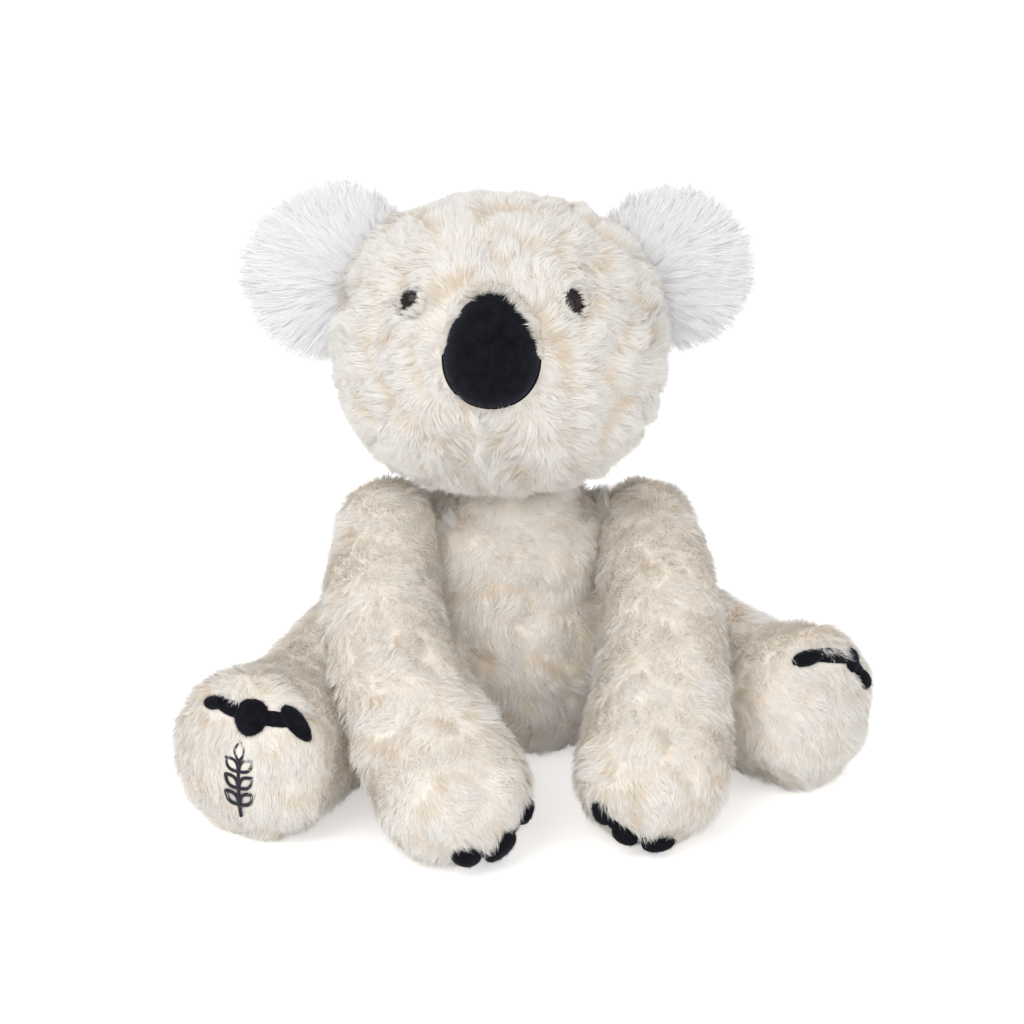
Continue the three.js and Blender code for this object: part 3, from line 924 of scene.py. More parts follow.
    def hairs_at(
        self, root: Array, normal: Array, lie: Array, tip: Array, tone: Array, shade: Array,
        rng: np.random.Generator,
    ) -> Surface:
        """The hairs of each lock: thin ribbons along quadratic curves from the root to the tip.

        Args:
            root: each lock's place on the surface.
            normal: the way out of the surface there.
            lie: the way that the lock leans.
            tip: where the lock's hairs meet.
            tone: the lock's tone, from 0 in a crease to 1 on a crest: painted crease shade, with random
                mottle.
            shade: the way that the tuft's rounded crown faces there.
            rng: where the differences between hairs come from.

        Returns:
            All hairs as one surface.
        """
        count, hairs = len(root), self.hairs
        shape = (count, hairs, 1)
        root, normal, lie, tip, shade = (a[:, None, :] for a in (root, normal, lie, tip, shade))
        side = np.cross(lie, normal)
        angle = rng.uniform(0, 2 * math.pi, shape)
        outward = np.cos(angle) * lie + np.sin(angle) * side
        offset = outward * self.lock_radius * np.sqrt(rng.uniform(0, 1, shape))
        start = root + offset - normal * self.sunk
        end = tip + offset * (1 - self.closing) + rng.normal(0, self.stray, (count, hairs, 3))
        end = start + (end - start) * rng.uniform(self.shortest, self.longest, shape)
        way = end - start
        rise = dot(way, normal) * normal
        bend = start + rise * self.arch_rise + (way - rise) * self.arch_reach
        roll = rng.uniform(-1, 1, shape) * self.roll
        across = (side * np.cos(roll) + normal * np.sin(roll)) * self.half_width
        rows, shares = [], np.array(self.levels)
        for share in self.levels:
            line = start * (1 - share) ** 2 + bend * (2 * share * (1 - share)) + end * share**2
            if share == 1:
                rows.append(line)
            else:
                width = across * (1 - self.taper * share**2)
                rows += [line - width, line + width]
        vertices = np.stack(rows, axis=2).reshape(-1, 3)
        facing = shade + self.glint * unit(np.cross(across, way)) + rng.normal(0, 0.08, way.shape)
        facing = unit(facing)
        normals = np.repeat(facing.reshape(-1, 3), len(rows), axis=0)
        low = vertices[:, 2] < self.floor
        vertices[low, 2] = self.floor + rng.uniform(0, 0.5, low.sum()) * self.floor
        tone = tone[:, None] + rng.normal(0, self.hair_mottle, (count, hairs))
        places = self.map_of(np.clip(tone, 0.03, 0.97).ravel(), shares)
        return Surface(vertices, self.ribbons(count * hairs), places, normals)

    def ribbons(self, count: int) -> list[Array]:
        """The faces of that many ribbons: a quad from level to level, and a triangle to the tip."""
        rows = len(self.levels) - 1
        start = np.arange(count)[:, None, None] * (2 * rows + 1)
        quad = 2 * np.arange(rows - 1)[:, None] + (0, 1, 3, 2)
        point = np.array([(2 * rows - 2, 2 * rows - 1, 2 * rows)])
        return [(start + quad[None]).reshape(-1, 4), (start + point[None]).reshape(-1, 3)]

    def map_of(self, tone: Array, shares: Array) -> Array:
        """Each ribbon vertex's map place: its hair's tone, a little to either side, and its level."""
        across = np.append(np.tile((-0.012, 0.012), len(shares) - 1), 0.0)
        level = np.append(np.repeat(shares[:-1], 2), 1.0)
        u = tone[:, None] + across[None]
        v = np.broadcast_to(level * 0.96 + 0.02, u.shape)
        return np.stack((u, v), axis=2).reshape(-1, 2)

    def split(self, surface: Surface) -> list[Surface]:
        """The same hairs as several surfaces that each stay under the most triangles of a piece."""
        rows = len(self.levels) - 1
        each, hairs = 2 * rows - 1, len(surface.vertices) // (2 * rows + 1)
        parts = max(1, math.ceil(hairs * each / MOST_TRIANGLES))
        bounds = np.linspace(0, hairs, parts + 1).astype(int)
        corners = 2 * rows + 1
        return [
            Surface(
                surface.vertices[a * corners : b * corners],
                self.ribbons(b - a),
                surface.places[a * corners : b * corners],
                surface.normals[a * corners : b * corners],
            )
            for a, b in zip(bounds[:-1], bounds[1:], strict=True)
        ]


@dataclass(frozen=True)
class Crossing:
    """Two bodies and the stretch over which cloth passes from the first to the second."""

    first: str
    second: str
    start: Array
    end: Array


def settle(piece: bpy.types.Object, carrier: str | Crossing) -> None:
    """Makes a piece ride on a body, or, where it lies across the joint between two, fixes it in place."""
    if isinstance(carrier, Crossing):
        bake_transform(piece)
    else:
        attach(piece, carrier)


class Workshop:
    """Makes finished pieces and keeps each finish's material once."""

    def __init__(self) -> None:
        """Starts with no materials."""
        self.materials: dict[str, bpy.types.Material] = {}

    def material(self, finish: Finish) -> bpy.types.Material:
        """The finish's material, made the first time that it is asked for."""
        if finish.name not in self.materials:
            self.materials[finish.name] = finish.material()
        return self.materials[finish.name]

    def make(
        self, name: str, surface: Surface, finish: Finish, carrier: str | Crossing, slot: str,
        replaces: Sequence[str] = (),
    ) -> bpy.types.Object:
        """Makes one piece of the toy.

        Args:
            name: the piece's name.
            surface: its shape.
            finish: what it is made of.
            carrier: the body that it rides on, or the joint that it lies across.
            slot: the record's material slot; not used.
            replaces: the nodes that it stands for.

        Returns:
            The piece.
        """
        piece = surface.piece(name, self.material(finish))
        settle(piece, carrier)
        if replaces:
            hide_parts(*replaces)
        log.info("%s: %d triangles", name, surface.triangles())
        return piece

    def pile(
        self, name: str, surfaces: Sequence[Surface], finish: PileFinish, carrier: str | Crossing, slot: str
    ) -> None:
        """Makes a pile's pieces, numbered where there are several."""
        for number, surface in enumerate(surfaces, 1):
            own = name if len(surfaces) == 1 else f"{name}_{number}"
            self.make(own, surface, finish, carrier, slot)


@dataclass(frozen=True)
class Coat:
    """The fur of one cream part: its pile, and an undercoat that shows between the locks."""

    part: str
    pile: Pile
    form: Form
    nap: Ways
    room: Room
    seed: int

    def build(self, shop: Workshop, carrier: str | Crossing) -> None:
        """Makes the pile's pieces and the undercoat.

        Args:
            shop: makes the pieces.
            carrier: what they ride on.
        """
        layers = (("pile", self.pile, self.seed), ("undercoat", self.pile.undercoat(), self.seed + 200))
        for kind, pile, seed in layers:
            surfaces = pile.comb(self.form, self.nap, seed, self.room)
            shop.pile(f"{self.part}_{kind}", surfaces, CREAM_PILE, carrier, "cream_plush")


def joint_place(name: str) -> Array:
    """Where the frame has a joint, in metres."""
    return np.array(next(j["pos_m"] for j in frame["joints"] if j["name"] == name))


def among(*forms: Form, standing: float = 0.6, buried: float = 1 * MM) -> Room:
    """The room left beside other forms: a share of the distance to the nearest, and none deep in one."""

    def room(points: Array) -> Array:
        """The room above each place."""
        away = np.min([-form.depth(points) for form in forms], axis=0)
        return np.where(away < -buried, -1.0, away.clip(0.3 * MM) * standing)

    return room


def least(*rooms: Room) -> Room:
    """The least of several rooms."""
    return lambda points: np.min([room(points) for room in rooms], axis=0)


def off_ground(room: Room, lowest: float = 0.6 * MM) -> Room:
    """The same room, with no pile under the lowest height."""
    return lambda points: np.where(points[:, 2] < lowest, -1.0, room(points))


def stud(place: Array, turn: Array, profile: Array, turns: int = 40) -> Surface:
    """A profile of radii and heights carried round the third column of a turn matrix."""
    angle = np.arange(turns) / turns * 2 * math.pi
    ring = np.stack((np.cos(angle), np.sin(angle), np.zeros(turns)), axis=1)
    local = profile[1:-1, None, :1] * ring + profile[1:-1, None, 1:] * UP
    poles = profile[[0, -1], 1:] * UP
    vertices = place + np.vstack((local.reshape(-1, 3), poles)) @ turn.T
    rows = np.arange(len(profile) - 3)[:, None] * turns
    here, after = np.arange(turns), (np.arange(turns) + 1) % turns
    quads = np.stack((rows + here, rows + here + turns, rows + after + turns, rows + after), axis=-1)
    top, bottom = len(local) * turns, len(local) * turns + 1
    last = (len(profile) - 3) * turns
    first_fan = np.stack((np.full(turns, top), here, after), axis=1)
    last_fan = np.stack((here + last, np.full(turns, bottom), after + last), axis=1)
    return Surface(vertices, [quads.reshape(-1, 4), np.vstack((first_fan, last_fan))])


def cord(line: Array, radius: Array, sides: int = 6) -> Surface:
    """A round thread along a line of places, with its radius at each, closed at both ends."""
    along = unit(np.gradient(line, axis=0))
    across = unit(np.cross(along, UP + 0.01))
    over = np.cross(across, along)
    angle = np.arange(sides) / sides * 2 * math.pi
    ring = np.cos(angle)[None, :, None] * across[:, None] + np.sin(angle)[None, :, None] * over[:, None]
    vertices = np.vstack(((line[:, None] + ring * radius[:, None, None]).reshape(-1, 3), line[0], line[-1]))
    rows = np.arange(len(line) - 1)[:, None] * sides
    here, after = np.arange(sides), (np.arange(sides) + 1) % sides
    quads = np.stack((rows + here, rows + here + sides, rows + after + sides, rows + after), axis=-1)
    first, last = len(line) * sides, len(line) * sides + 1
    far = (len(line) - 1) * sides
    start = np.stack((np.full(sides, first), here, after), axis=1)
    end = np.stack((here + far, np.full(sides, last), after + far), axis=1)
    return Surface(vertices, [quads.reshape(-1, 4), np.vstack((start, end))])


@dataclass(frozen=True)
class Filling:
    """What fills a skin: a wad of fibre or a bag of beads, cut flat where it meets the next."""

    inset: float = SKIN_WALL + GAP
    fibre_lump: float = 0.5 * MM
    bead: float = 2.6 * MM
    bead_dip: float = 0.5 * MM

    def wad(self, surface: Surface) -> Surface:
        """A wad: the surface pulled in by soft lumps, half a lump deep on average."""
        middle = surface.vertices.mean(axis=0)
        lumps = Ripple(7 * MM, 5).at(surface.vertices) + 0.6 * Ripple(3 * MM, 6).at(surface.vertices)
        inward = unit(middle - surface.vertices) * (self.fibre_lump * (lumps * 0.35 + 0.6).clip(0))[:, None]
        points = surface.vertices + inward
        points[:, 2] = points[:, 2].clip(self.inset)
        return replace(surface, vertices=points)

    def bag(self, surface: Surface, seed: int) -> Surface:
        """A bag: the surface dimpled between the beads that press on it, the deeper the further from one.

        Args:
            surface: the room that it fills.
            seed: where the beads lie.

        Returns:
            The bag's surface.
        """
        points = surface.vertices.copy()
        points[:, 2] = points[:, 2].clip(self.inset)
        rng = np.random.default_rng(seed)
        beads = points[rng.permutation(len(points))[: len(points) // 9]]
        near = np.full(len(points), np.inf)
        for some in np.array_split(beads, 8):
            near = np.minimum(near, np.linalg.norm(points[:, None] - some[None], axis=2).min(axis=1))
        dip = np.clip(near / self.bead, 0, 1) ** 2 * self.bead_dip
        return replace(surface, vertices=points + unit(points.mean(axis=0) - points) * dip[:, None])


@dataclass(frozen=True)
class Torso:
    """The body: a pear of plush with a ball for a neck, which the head turns on."""

    hip_half_width: float = 45 * MM
    chest_half_width: float = 38 * MM
    hip_half_depth: float = 40 * MM
    chest_half_depth: float = 31 * MM
    hip_height: float = 34 * MM
    chest_height: float = 66 * MM
    chest_dome: float = 0.78
    seat_bag_depth: float = 20 * MM
    neck_radius: float = 24 * MM

    def pear(self, grow: float = 0.0) -> Tube:
        """The body's form without its neck."""
        return Tube(
            np.array(((0, 0, self.hip_height), (0, 0, self.chest_height))),
            np.array((self.hip_half_width, self.chest_half_width)),
            np.array((self.hip_half_depth, self.chest_half_depth)),
            turned(AHEAD, UP, TORSO_YAW),
            start_dome=1.0,
            end_dome=self.chest_dome,
            grow=grow,
        )

    def neck(self, grow: float = 0.0) -> Egg:
        """The ball at the neck."""
        radius = self.neck_radius + grow
        return Egg(joint_place("neck_turn"), np.eye(3), radius, radius, radius)

    def nap(self, points: Array) -> Array:
        """The pile on the body lies down and a little outward."""
        outward = points * (1, 1, 0)
        return -UP + 0.25 * unit(outward)

    def build(self, shop: Workshop, skull: Form, limbs: Sequence[Form]) -> None:
        """Makes the body's cover, its pile and what fills it.

        Args:
            shop: makes the pieces.
            skull: the head's form, which sits on the body.
            limbs: the arms' and legs' forms.
        """
        pear, neck = self.pear(), self.neck()
        cover = pear.skin(90, 72).joined(neck.skin(48, 36, [skull]))
        shop.make("torso_cover", cover, CREAM_BACKING, "torso", "cream_plush", ["torso_skin"])
        room = off_ground(least(among(skull, standing=1.3), among(*limbs, standing=2, buried=2.5 * MM)))
        Coat("torso", BODY_PILE, pear, self.nap, room, 2).build(shop, "torso")
        collar = PILE.comb(neck, self.nap, 4, among(pear, skull, standing=1.2, buried=1 * MM))
        shop.pile("collar_pile", collar, CREAM_PILE, "torso", "cream_plush")
        filling = Filling()
        top = self.seat_bag_depth + SKIN_WALL
        inner = pear.grown(-filling.inset)
        reach = self.hip_half_width - filling.inset
        rim = -math.asin((self.hip_height - top) / reach) * 2 / math.pi
        gap = GAP / reach * 2 / math.pi
        wad = filling.wad(inner.skin(48, 40, [self.neck(-SKIN_WALL)], start=rim + gap))
        shop.make("torso_fibre", wad, FIBRE, "torso", "fibre_stuffing", ["torso_stuffing"])
        bag = filling.bag(inner.skin(84, 44, end=rim), 11)
        shop.make("seat_beads", bag, BEAD_CLOTH, "torso", "bead_bag_cloth", ["seat_bead_bag"])
        wad = filling.wad(self.neck(-SKIN_WALL - TURNING_GAP).skin(48, 36))
        shop.make("neck_fibre", wad, FIBRE, "neck", "fibre_stuffing", ["neck_stuffing"])


@dataclass(frozen=True)
class Lash:
    """Hairs in an arc beside an eye that lean over it, with the arc's bearing clockwise from up."""

    side: Side
    bearing: float
    height: float
    reach: float
    arc: float = 0.5
    near: float = 4.7 * MM
    far: float = 6.2 * MM


@dataclass(frozen=True)
class Head:
    """The head, with its nose, eyes and the places of its ears."""

    rise: float = 67 * MM
    forward: float = 5 * MM
    to_right: float = 4 * MM
    nose_half_width: float = 16.2 * MM
    nose_half_height: float = 19.8 * MM
    nose_half_depth: float = 15 * MM
    nose_sink: float = 2 * MM
    nose_drop: float = 3.2 * MM
    nose_taper: float = 0.16
    nose_pile: float = 0.6 * MM
    rim_height: float = 8.5 * MM
    eye_radius: float = 5 * MM
    eye_dome: float = 0.72
    eye_sideways: float = 26.5 * MM
    eye_rise: float = 12.5 * MM
    shank_radius: float = 1.6 * MM
    shank_length: float = 11 * MM
    eye_bare: float = 4.3 * MM
    nose_bare: float = 0.6 * MM
    rim_near: float = 0.4 * MM
    rim_width: float = 1.2 * MM
    rim_least: float = 2.5 * MM
    face_ends: float = -45 * MM
    back_starts: float = 25 * MM

    @property
    def eye_shift(self) -> Array:
        """What is added to the left eye's place, and taken from the right's, for its bare round's middle."""
        return np.array((0.7 * MM, 0, 0.1 * MM))

    def skull(self, grow: float = 0.0) -> Skull:
        """The head's form."""
        centre = joint_place("neck_turn") + np.array((-self.to_right, -self.forward, self.rise))
        return Skull(centre, grow=grow)

    def nose(self) -> Egg:
        """The nose's form: an egg that is wider below its middle."""
        skull = self.skull()
        place, out = skull.face_place(0, -self.nose_drop)
        halves = np.array((self.nose_half_width, self.nose_half_depth, self.nose_half_height))
        return Egg(place - out * self.nose_sink, skull.turn, *(halves - self.nose_pile), self.nose_taper)

    def eye_place(self, side: Side) -> tuple[Array, Array]:
        """Where an eye sits and the way that it looks."""
        return self.skull().face_place(side.value * self.eye_sideways, self.eye_rise)

    def nap(self, points: Array) -> Array:
        """The pile on the head lies away from the nose, more and more downward towards the back."""
        away = unit(points - self.nose().centre)
        back = eased(self.face_ends, self.back_starts, points[:, 1])[:, None]
        return away * (1 - 0.85 * back) - UP * (0.25 + 0.75 * back)

    def room(self, near: Sequence[Form]) -> Room:
        """The room over the head: none under the nose and the eyes, and little beside its neighbours.

        Args:
            near: the forms that the head lies against.

        Returns:
            The room for any places.
        """
        nose, beside = self.nose(), among(*near, standing=0.8, buried=1.5 * MM)
        eyes = [self.eye_place(side)[0] + side.value * self.eye_shift for side in Side]

        def room(points: Array) -> Array:
            """The room above each place."""
            free = np.where(nose.depth(points) > -self.nose_bare, -1.0, beside(points))
            for eye in eyes:
                away = np.linalg.norm(points - eye, axis=1)
                free = np.where(away < self.eye_bare, -1.0, free)
            return free

        return room

    def rim_room(self, points: Array) -> Array:
        """Room for short hairs in a narrow band round the nose, more of them over its top."""
        nose = self.nose()
        clear, over = -nose.depth(points), eased(-14 * MM, 16 * MM, points[:, 2] - nose.centre[2])
        tall = self.rim_height * (0.2 + 0.75 * over + 0.3 * Ripple(7 * MM, 9).at(points))
        band = (clear > self.rim_near) & (clear < self.rim_width + self.rim_width * over)
        return np.where(band & (over > 0.3), tall.clip(self.rim_least), -1.0)

    def lashes(self, lash: Lash) -> list[Surface]:
        """The hairs of one lash, which lean over the eye.

        Args:
            lash: where they stand.

        Returns:
            Their surfaces.
        """
        eye, skull = self.eye_place(lash.side)[0], self.skull()
        way = np.array((math.sin(lash.bearing), 0, math.cos(lash.bearing)))

        def room(points: Array) -> Array:
            """The room for hairs in a short arc beside the eye."""
            away = np.linalg.norm(points - eye, axis=1)
            kept = (away > lash.near) & (away < lash.far) & (unit(points - eye) @ way > lash.arc)
            return np.where(kept, lash.height, -1.0)

        own = replace(LASH_PILE, height=lash.height, reach=lash.reach)
        return own.comb(skull, lambda points: 0 * points - way, 5, room)

    def eye(self, side: Side) -> Surface:
        """One safety eye: a polished dome with a rounded rim, and a ridged shank behind it.

        Its profile is a flattened quarter circle, then the rim's small curve, then the shank's ridges.
        """
        place, out = self.eye_place(side)
        lean = np.linspace(0, 1, 22) * math.pi / 2
        dome = np.stack((np.sin(lean), np.cos(lean) * self.eye_dome), axis=1) * self.eye_radius
        rim = np.array(((0.985, -0.05), (0.93, -0.1), (0.8, -0.12))) * self.eye_radius
        steps = np.linspace(0.1, 1, 37)
        ridges = 1 - 0.12 * (0.5 - 0.5 * np.cos(steps * 9 * 2 * math.pi))
        shank = np.stack((self.shank_radius * ridges, -self.shank_length * steps), axis=1)
        tip = np.array(((0.5 * self.shank_radius, -self.shank_length), (0, -self.shank_length)))
        turn = axes_for(out, np.array((1.0, 0, 0)))
        return stud(place, turn, np.vstack((dome, rim, shank, tip)))

    def build(self, shop: Workshop, near: Sequence[Form]) -> None:
        """Makes the head's cover, its pile, the nose, the eyes and the fibre inside.

        Args:
            shop: makes the pieces.
            near: the forms that the head lies against.
        """
        skull, nose = self.skull(), self.nose()
        shop.make("head_cover", skull.skin(90, 72), CREAM_BACKING, "head", "cream_plush", ["head_skin"])
        Coat("head", HEAD_PILE, skull, self.nap, self.room(near), 1).build(shop, "head")
        rim = replace(RIM_PILE, height=self.rim_height)
        locks = rim.comb(skull, lambda points: -self.nap(points), 3, self.rim_room)
        shop.pile("nose_rim_pile", locks, FACE_PILE, "head", "cream_plush")
        locks = [lock for lash in LASHES for lock in self.lashes(lash)]
        shop.make("lash_pile", locks[0].joined(*locks[1:]), FACE_PILE, "head", "cream_plush")
        egg = nose.skin(96, 72, [skull])
        shop.make("nose_velour", egg, VELOUR, "head", "black_velour", ["nose"])
        outside = among(skull, standing=1.0, buried=0)
        fuzz = FUZZ.comb(nose, lambda points: -UP + 0 * points, 21, outside)
        shop.pile("nose_fuzz", fuzz, DARK_PILE, "head", "black_velour")
        for side in Side:
            name = f"eye_{side.word}"
            shop.make(f"{name}_dome", self.eye(side), EYE, "head", "eye_plastic", [name])
        wad = Filling().wad(self.skull(-SKIN_WALL - GAP).skin(72, 54, [self.pressing_neck()]))
        shop.make("head_fibre", wad, FIBRE, "head", "fibre_stuffing", ["head_stuffing"])

    def pressing_neck(self) -> Egg:
        """The ball that the head sits on."""
        return Torso().neck(TURNING_GAP)


@dataclass(frozen=True)
class Ear:
    """A flat round flap with long straight pile that fans out from its root."""

    side: Side
    radius: float = 21.5 * MM
    half_thickness: float = 4.5 * MM
    sideways: float = 58 * MM
    rise: float = 28 * MM
    back: float = 11 * MM
    turn: float = 14 * DEGREES
    bend_start: float = -2 * MM
    bend_end: float = 8 * MM

    def flap(self, skull: Skull) -> Egg:
        """The flap's form."""
        centre = skull.centre + skull.turn @ np.array((self.side.value * self.sideways, self.back, self.rise))
        face = skull.turn @ np.array((self.side.value * math.sin(self.turn), -math.cos(self.turn), 0))
        return Egg(centre, axes_for(face, UP), self.radius, self.radius, self.half_thickness)

    def drawn_out(self, points: Array, flap: Egg) -> Array:
        """Hair ends moved further out where the ear's pile is longest, on its outer and lower side.

        Past half the flap's radius, the distance from its middle grows by a share that is full in the
        longest direction and dies away to either side.

        Args:
            points: places on the pile.
            flap: the flap's form.

        Returns:
            The places, moved.
        """
        longest = unit(np.array((self.side.value, 0, -0.75)))
        way = points - flap.centre
        flat = way - dot(way, flap.turn[:, 2]) * flap.turn[:, 2]
        length = np.linalg.norm(flat, axis=1)
        share = eased(-0.2, 1.0, unit(flat) @ longest) * (0.45 if self.side is Side.RIGHT else 0.08)
        return points + unit(flat) * (share * (length - self.radius / 2).clip(0))[:, None]

    def build(self, shop: Workshop, skull: Skull) -> None:
        """Makes the flap and its pile.

        Args:
            shop: makes the pieces.
            skull: the head's form, which the flap is sewn to.
        """
        name = f"ear_{self.side.word}"
        flap, root = self.flap(skull), joint_place(f"{name}_flex")
        out = unit(flap.centre - root)
        crossing = Crossing("head", name, root + out * self.bend_start, root + out * self.bend_end)
        skin = flap.skin(72, 36, [skull])
        shop.make(f"{name}_flap", skin, WHITE_BACKING, crossing, "white_plush", [name])
        fan = root - out * 6 * MM
        room = among(skull, standing=1.0, buried=1 * MM)
        for kind, pile, seed in (("pile", EAR_PILE, 30), ("undercoat", EAR_PILE.undercoat(0.92, 3), 34)):
            surfaces = pile.comb(flap, lambda points: points - fan, seed + self.side.value, room)
            surfaces = [replace(s, vertices=self.drawn_out(s.vertices, flap)) for s in surfaces]
            shop.pile(f"{name}_{kind}", surfaces, WHITE_PILE, crossing, "white_plush")


@dataclass(frozen=True)
class PawCap:
    """The end of a paw as a cap: its middle, the ways to its right, up and out, and its half sizes."""

    middle: Array
    right: Array
    up: Array
    out: Array
    halves: tuple[float, float, float]

    @classmethod
    def facing(cls, middle: Array, out: Array, halves: tuple[float, float, float]) -> "PawCap":
        """The cap that faces a way, with its up as near to straight up as that lets it be."""
        up = unit(UP - out * out[2])
        return cls(middle, np.cross(up, out), up, out, halves)

    def spot(self, across: float, over: float, proud: float) -> tuple[Array, Array]:
        """A place on the cap and the way out of it: it falls off as the root of 1 - a^2 - b^2.

        Args:
            across: the distance to the right of its middle.
            over: the distance up from it.
            proud: the height above the cap.

        Returns:
            The place and the way out of the cap there.
        """
        a, b = across / self.halves[0], over / self.halves[1]
        fall = math.sqrt(max(0.04, 1 - a * a - b * b))
        slope = self.right * a / self.halves[0] + self.up * b / self.halves[1]
        slope = unit(slope + self.out * fall / self.halves[2])
        place = self.middle + self.right * across + self.up * over + self.out * self.halves[2] * fall
        return place + slope * proud, slope


@dataclass(frozen=True)
class Lobe:
    """One puffed lobe, in mm and degrees: its spot, its half sizes, and its heading, clockwise from up."""

    across: float
    over: float
    half_width: float
    half_length: float
    heading: float


@dataclass(frozen=True)
class ClawStrip:
    """One strip of velour with puffed lobes, sewn across a paw."""

    lobes: tuple[Lobe, ...] = ()
    half_thickness: float = 3 * MM
    taper: float = 0.12
    strip_radius: float = 2.3 * MM
    proud: float = 1.3 * MM

    def eggs(self, cap: PawCap) -> list[Egg]:
        """The strip's forms: an egg for each lobe, and a link between each two.

        Args:
            cap: the end of the paw.

        Returns:
            The eggs.
        """
        eggs, last = [], None
        for lobe in self.lobes:
            place, out = cap.spot(lobe.across * MM, lobe.over * MM, self.proud)
            place[2] = max(place[2], self.half_thickness + GAP)
            heading = lobe.heading * DEGREES
            along = tangent(cap.up * math.cos(heading) + cap.right * math.sin(heading), out)
            across = np.cross(out, along)
            turn = np.stack((across, np.cross(along, across), along), axis=1)
            width, length = lobe.half_width * MM, lobe.half_length * MM
            eggs.append(Egg(place, turn, width, self.half_thickness, length, self.taper))
            if last is not None:
                half = np.linalg.norm(place - last) / 2
                turn = axes_for(place - last, out)
                eggs.append(Egg((place + last) / 2, turn, self.strip_radius, self.strip_radius * 0.8, half))
            last = place
        return eggs

    def build(self, shop: Workshop, name: str, body: str, eggs: Sequence[Egg], paw: Form) -> None:
        """Makes the strip and its short pile.

        Args:
            shop: makes the pieces.
            name: the claws' node.
            body: the body that they ride on.
            eggs: the strip's forms.
            paw: the paw's form, which they are sewn to.
        """
        parts = [egg.skin(28, 20, [paw]) for egg in eggs]
        shop.make(f"{name}_velour", parts[0].joined(*parts[1:]), VELOUR, body, "black_velour", [name])
        fuzz = []
        for number, egg in enumerate(eggs):
            others = [other for other in eggs if other is not egg]
            room = off_ground(among(paw, *others, standing=1.0, buried=0))
            fuzz += FUZZ.comb(egg, lambda points: -UP + 0 * points, 40 + number, room)
        shop.make(f"{name}_fuzz", fuzz[0].joined(*fuzz[1:]), DARK_PILE, body, "black_velour")


@dataclass(frozen=True)
class Limb:
    """An arm or a leg: a stuffed tube that a hinge joins to the body, with a bag of beads in its paw."""

    side: Side
    name: str
    hinge: str
    route: Array
    halves: Array
    talls: Array
    end_dome: float
    bend_end: float
    bend_start: float = 2 * MM
    plump: Array | None = None
    broad: float = 0.0

    @property
    def body(self) -> str:
        """The body that the limb's paw rides on."""
        return f"{self.name}_{self.side.word}"

    def core(self) -> Tube:
        """The limb's form as it is packed."""
        return Tube(self.route, self.halves, self.talls, UP, 1.0, self.end_dome)

    def form(self) -> Tube:
        """The limb's form with its cloth puffed up between its ends, where it is."""
        if self.plump is None:
            return self.core()
        route = self.route + UP * self.plump[:, None]
        wide = self.halves + self.plump + np.array((0, 0, 0.5, 1)) * self.broad
        return replace(self.core(), centres=route, wide=wide, tall=self.talls + self.plump)

    def crossing(self) -> Crossing:
        """Where the limb's cloth turns from the body's to its own."""
        root = joint_place(self.hinge)
        out = unit(self.route[1] - self.route[0])
        return Crossing("torso", self.body, root + out * self.bend_start, root + out * self.bend_end)

    def nap(self, points: Array) -> Array:
        """The pile lies along the limb, and on the paw away from its middle and down."""
        shares = np.linspace(0, 1, 65)
        centre, _, _, along = self.form().axes(shares)
        nearest = np.argmin(((points[:, None] - centre[None]) ** 2).sum(axis=2), axis=1)
        tip = eased(0.93, 1.0, shares[nearest])[:, None]
        outward = unit(points - centre[nearest])
        return along[nearest] * (1 - 0.8 * tip) + 0.3 * outward * tip - UP * (0.3 + 0.6 * tip)

    def build(
        self, shop: Workshop, near: Sequence[Form], pressed_by: Sequence[Form], room: Room, seed: int
    ) -> None:
        """Makes the limb's cover, its pile, and the fibre and beads inside.

        Args:
            shop: makes the pieces.
            near: the forms that it lies against.
            pressed_by: those of them that flatten it.
            room: the room that the paw's trimmings leave.
            seed: seeds its pile.
        """
        form, crossing, name = self.form(), self.crossing(), self.body
        cover = form.skin(72, 72, pressed_by)
        shop.make(f"{name}_cover", cover, CREAM_BACKING, crossing, "cream_plush", [f"{name}_skin"])
        beside = off_ground(among(*near, standing=1.5, buried=1.5 * MM))
        Coat(name, LIMB_PILE, form, self.nap, least(beside, room), seed).build(shop, crossing)
        filling = Filling()
        inner = self.core().grown(-filling.inset)
        rim = 2 / 3
        gap = GAP / np.linalg.norm(self.route[3] - self.route[2]) / 3
        wad = filling.wad(inner.skin(36, 40, pressed_by, end=rim))
        shop.make(f"{name}_fibre", wad, FIBRE, crossing, "fibre_stuffing", [f"{name}_stuffing"])
        bag = filling.bag(inner.skin(60, 56, start=rim + gap), seed + 60)
        shop.make(f"{name}_beads", bag, BEAD_CLOTH, name, "bead_bag_cloth", [f"{name}_bead_bag"])


@dataclass(frozen=True)
class ArmPose:
    """How one arm lies."""

    reach: float
    inward: float
    bow_out: float
    bow_up: float
    claw_azimuth: float
    claw_drop: float


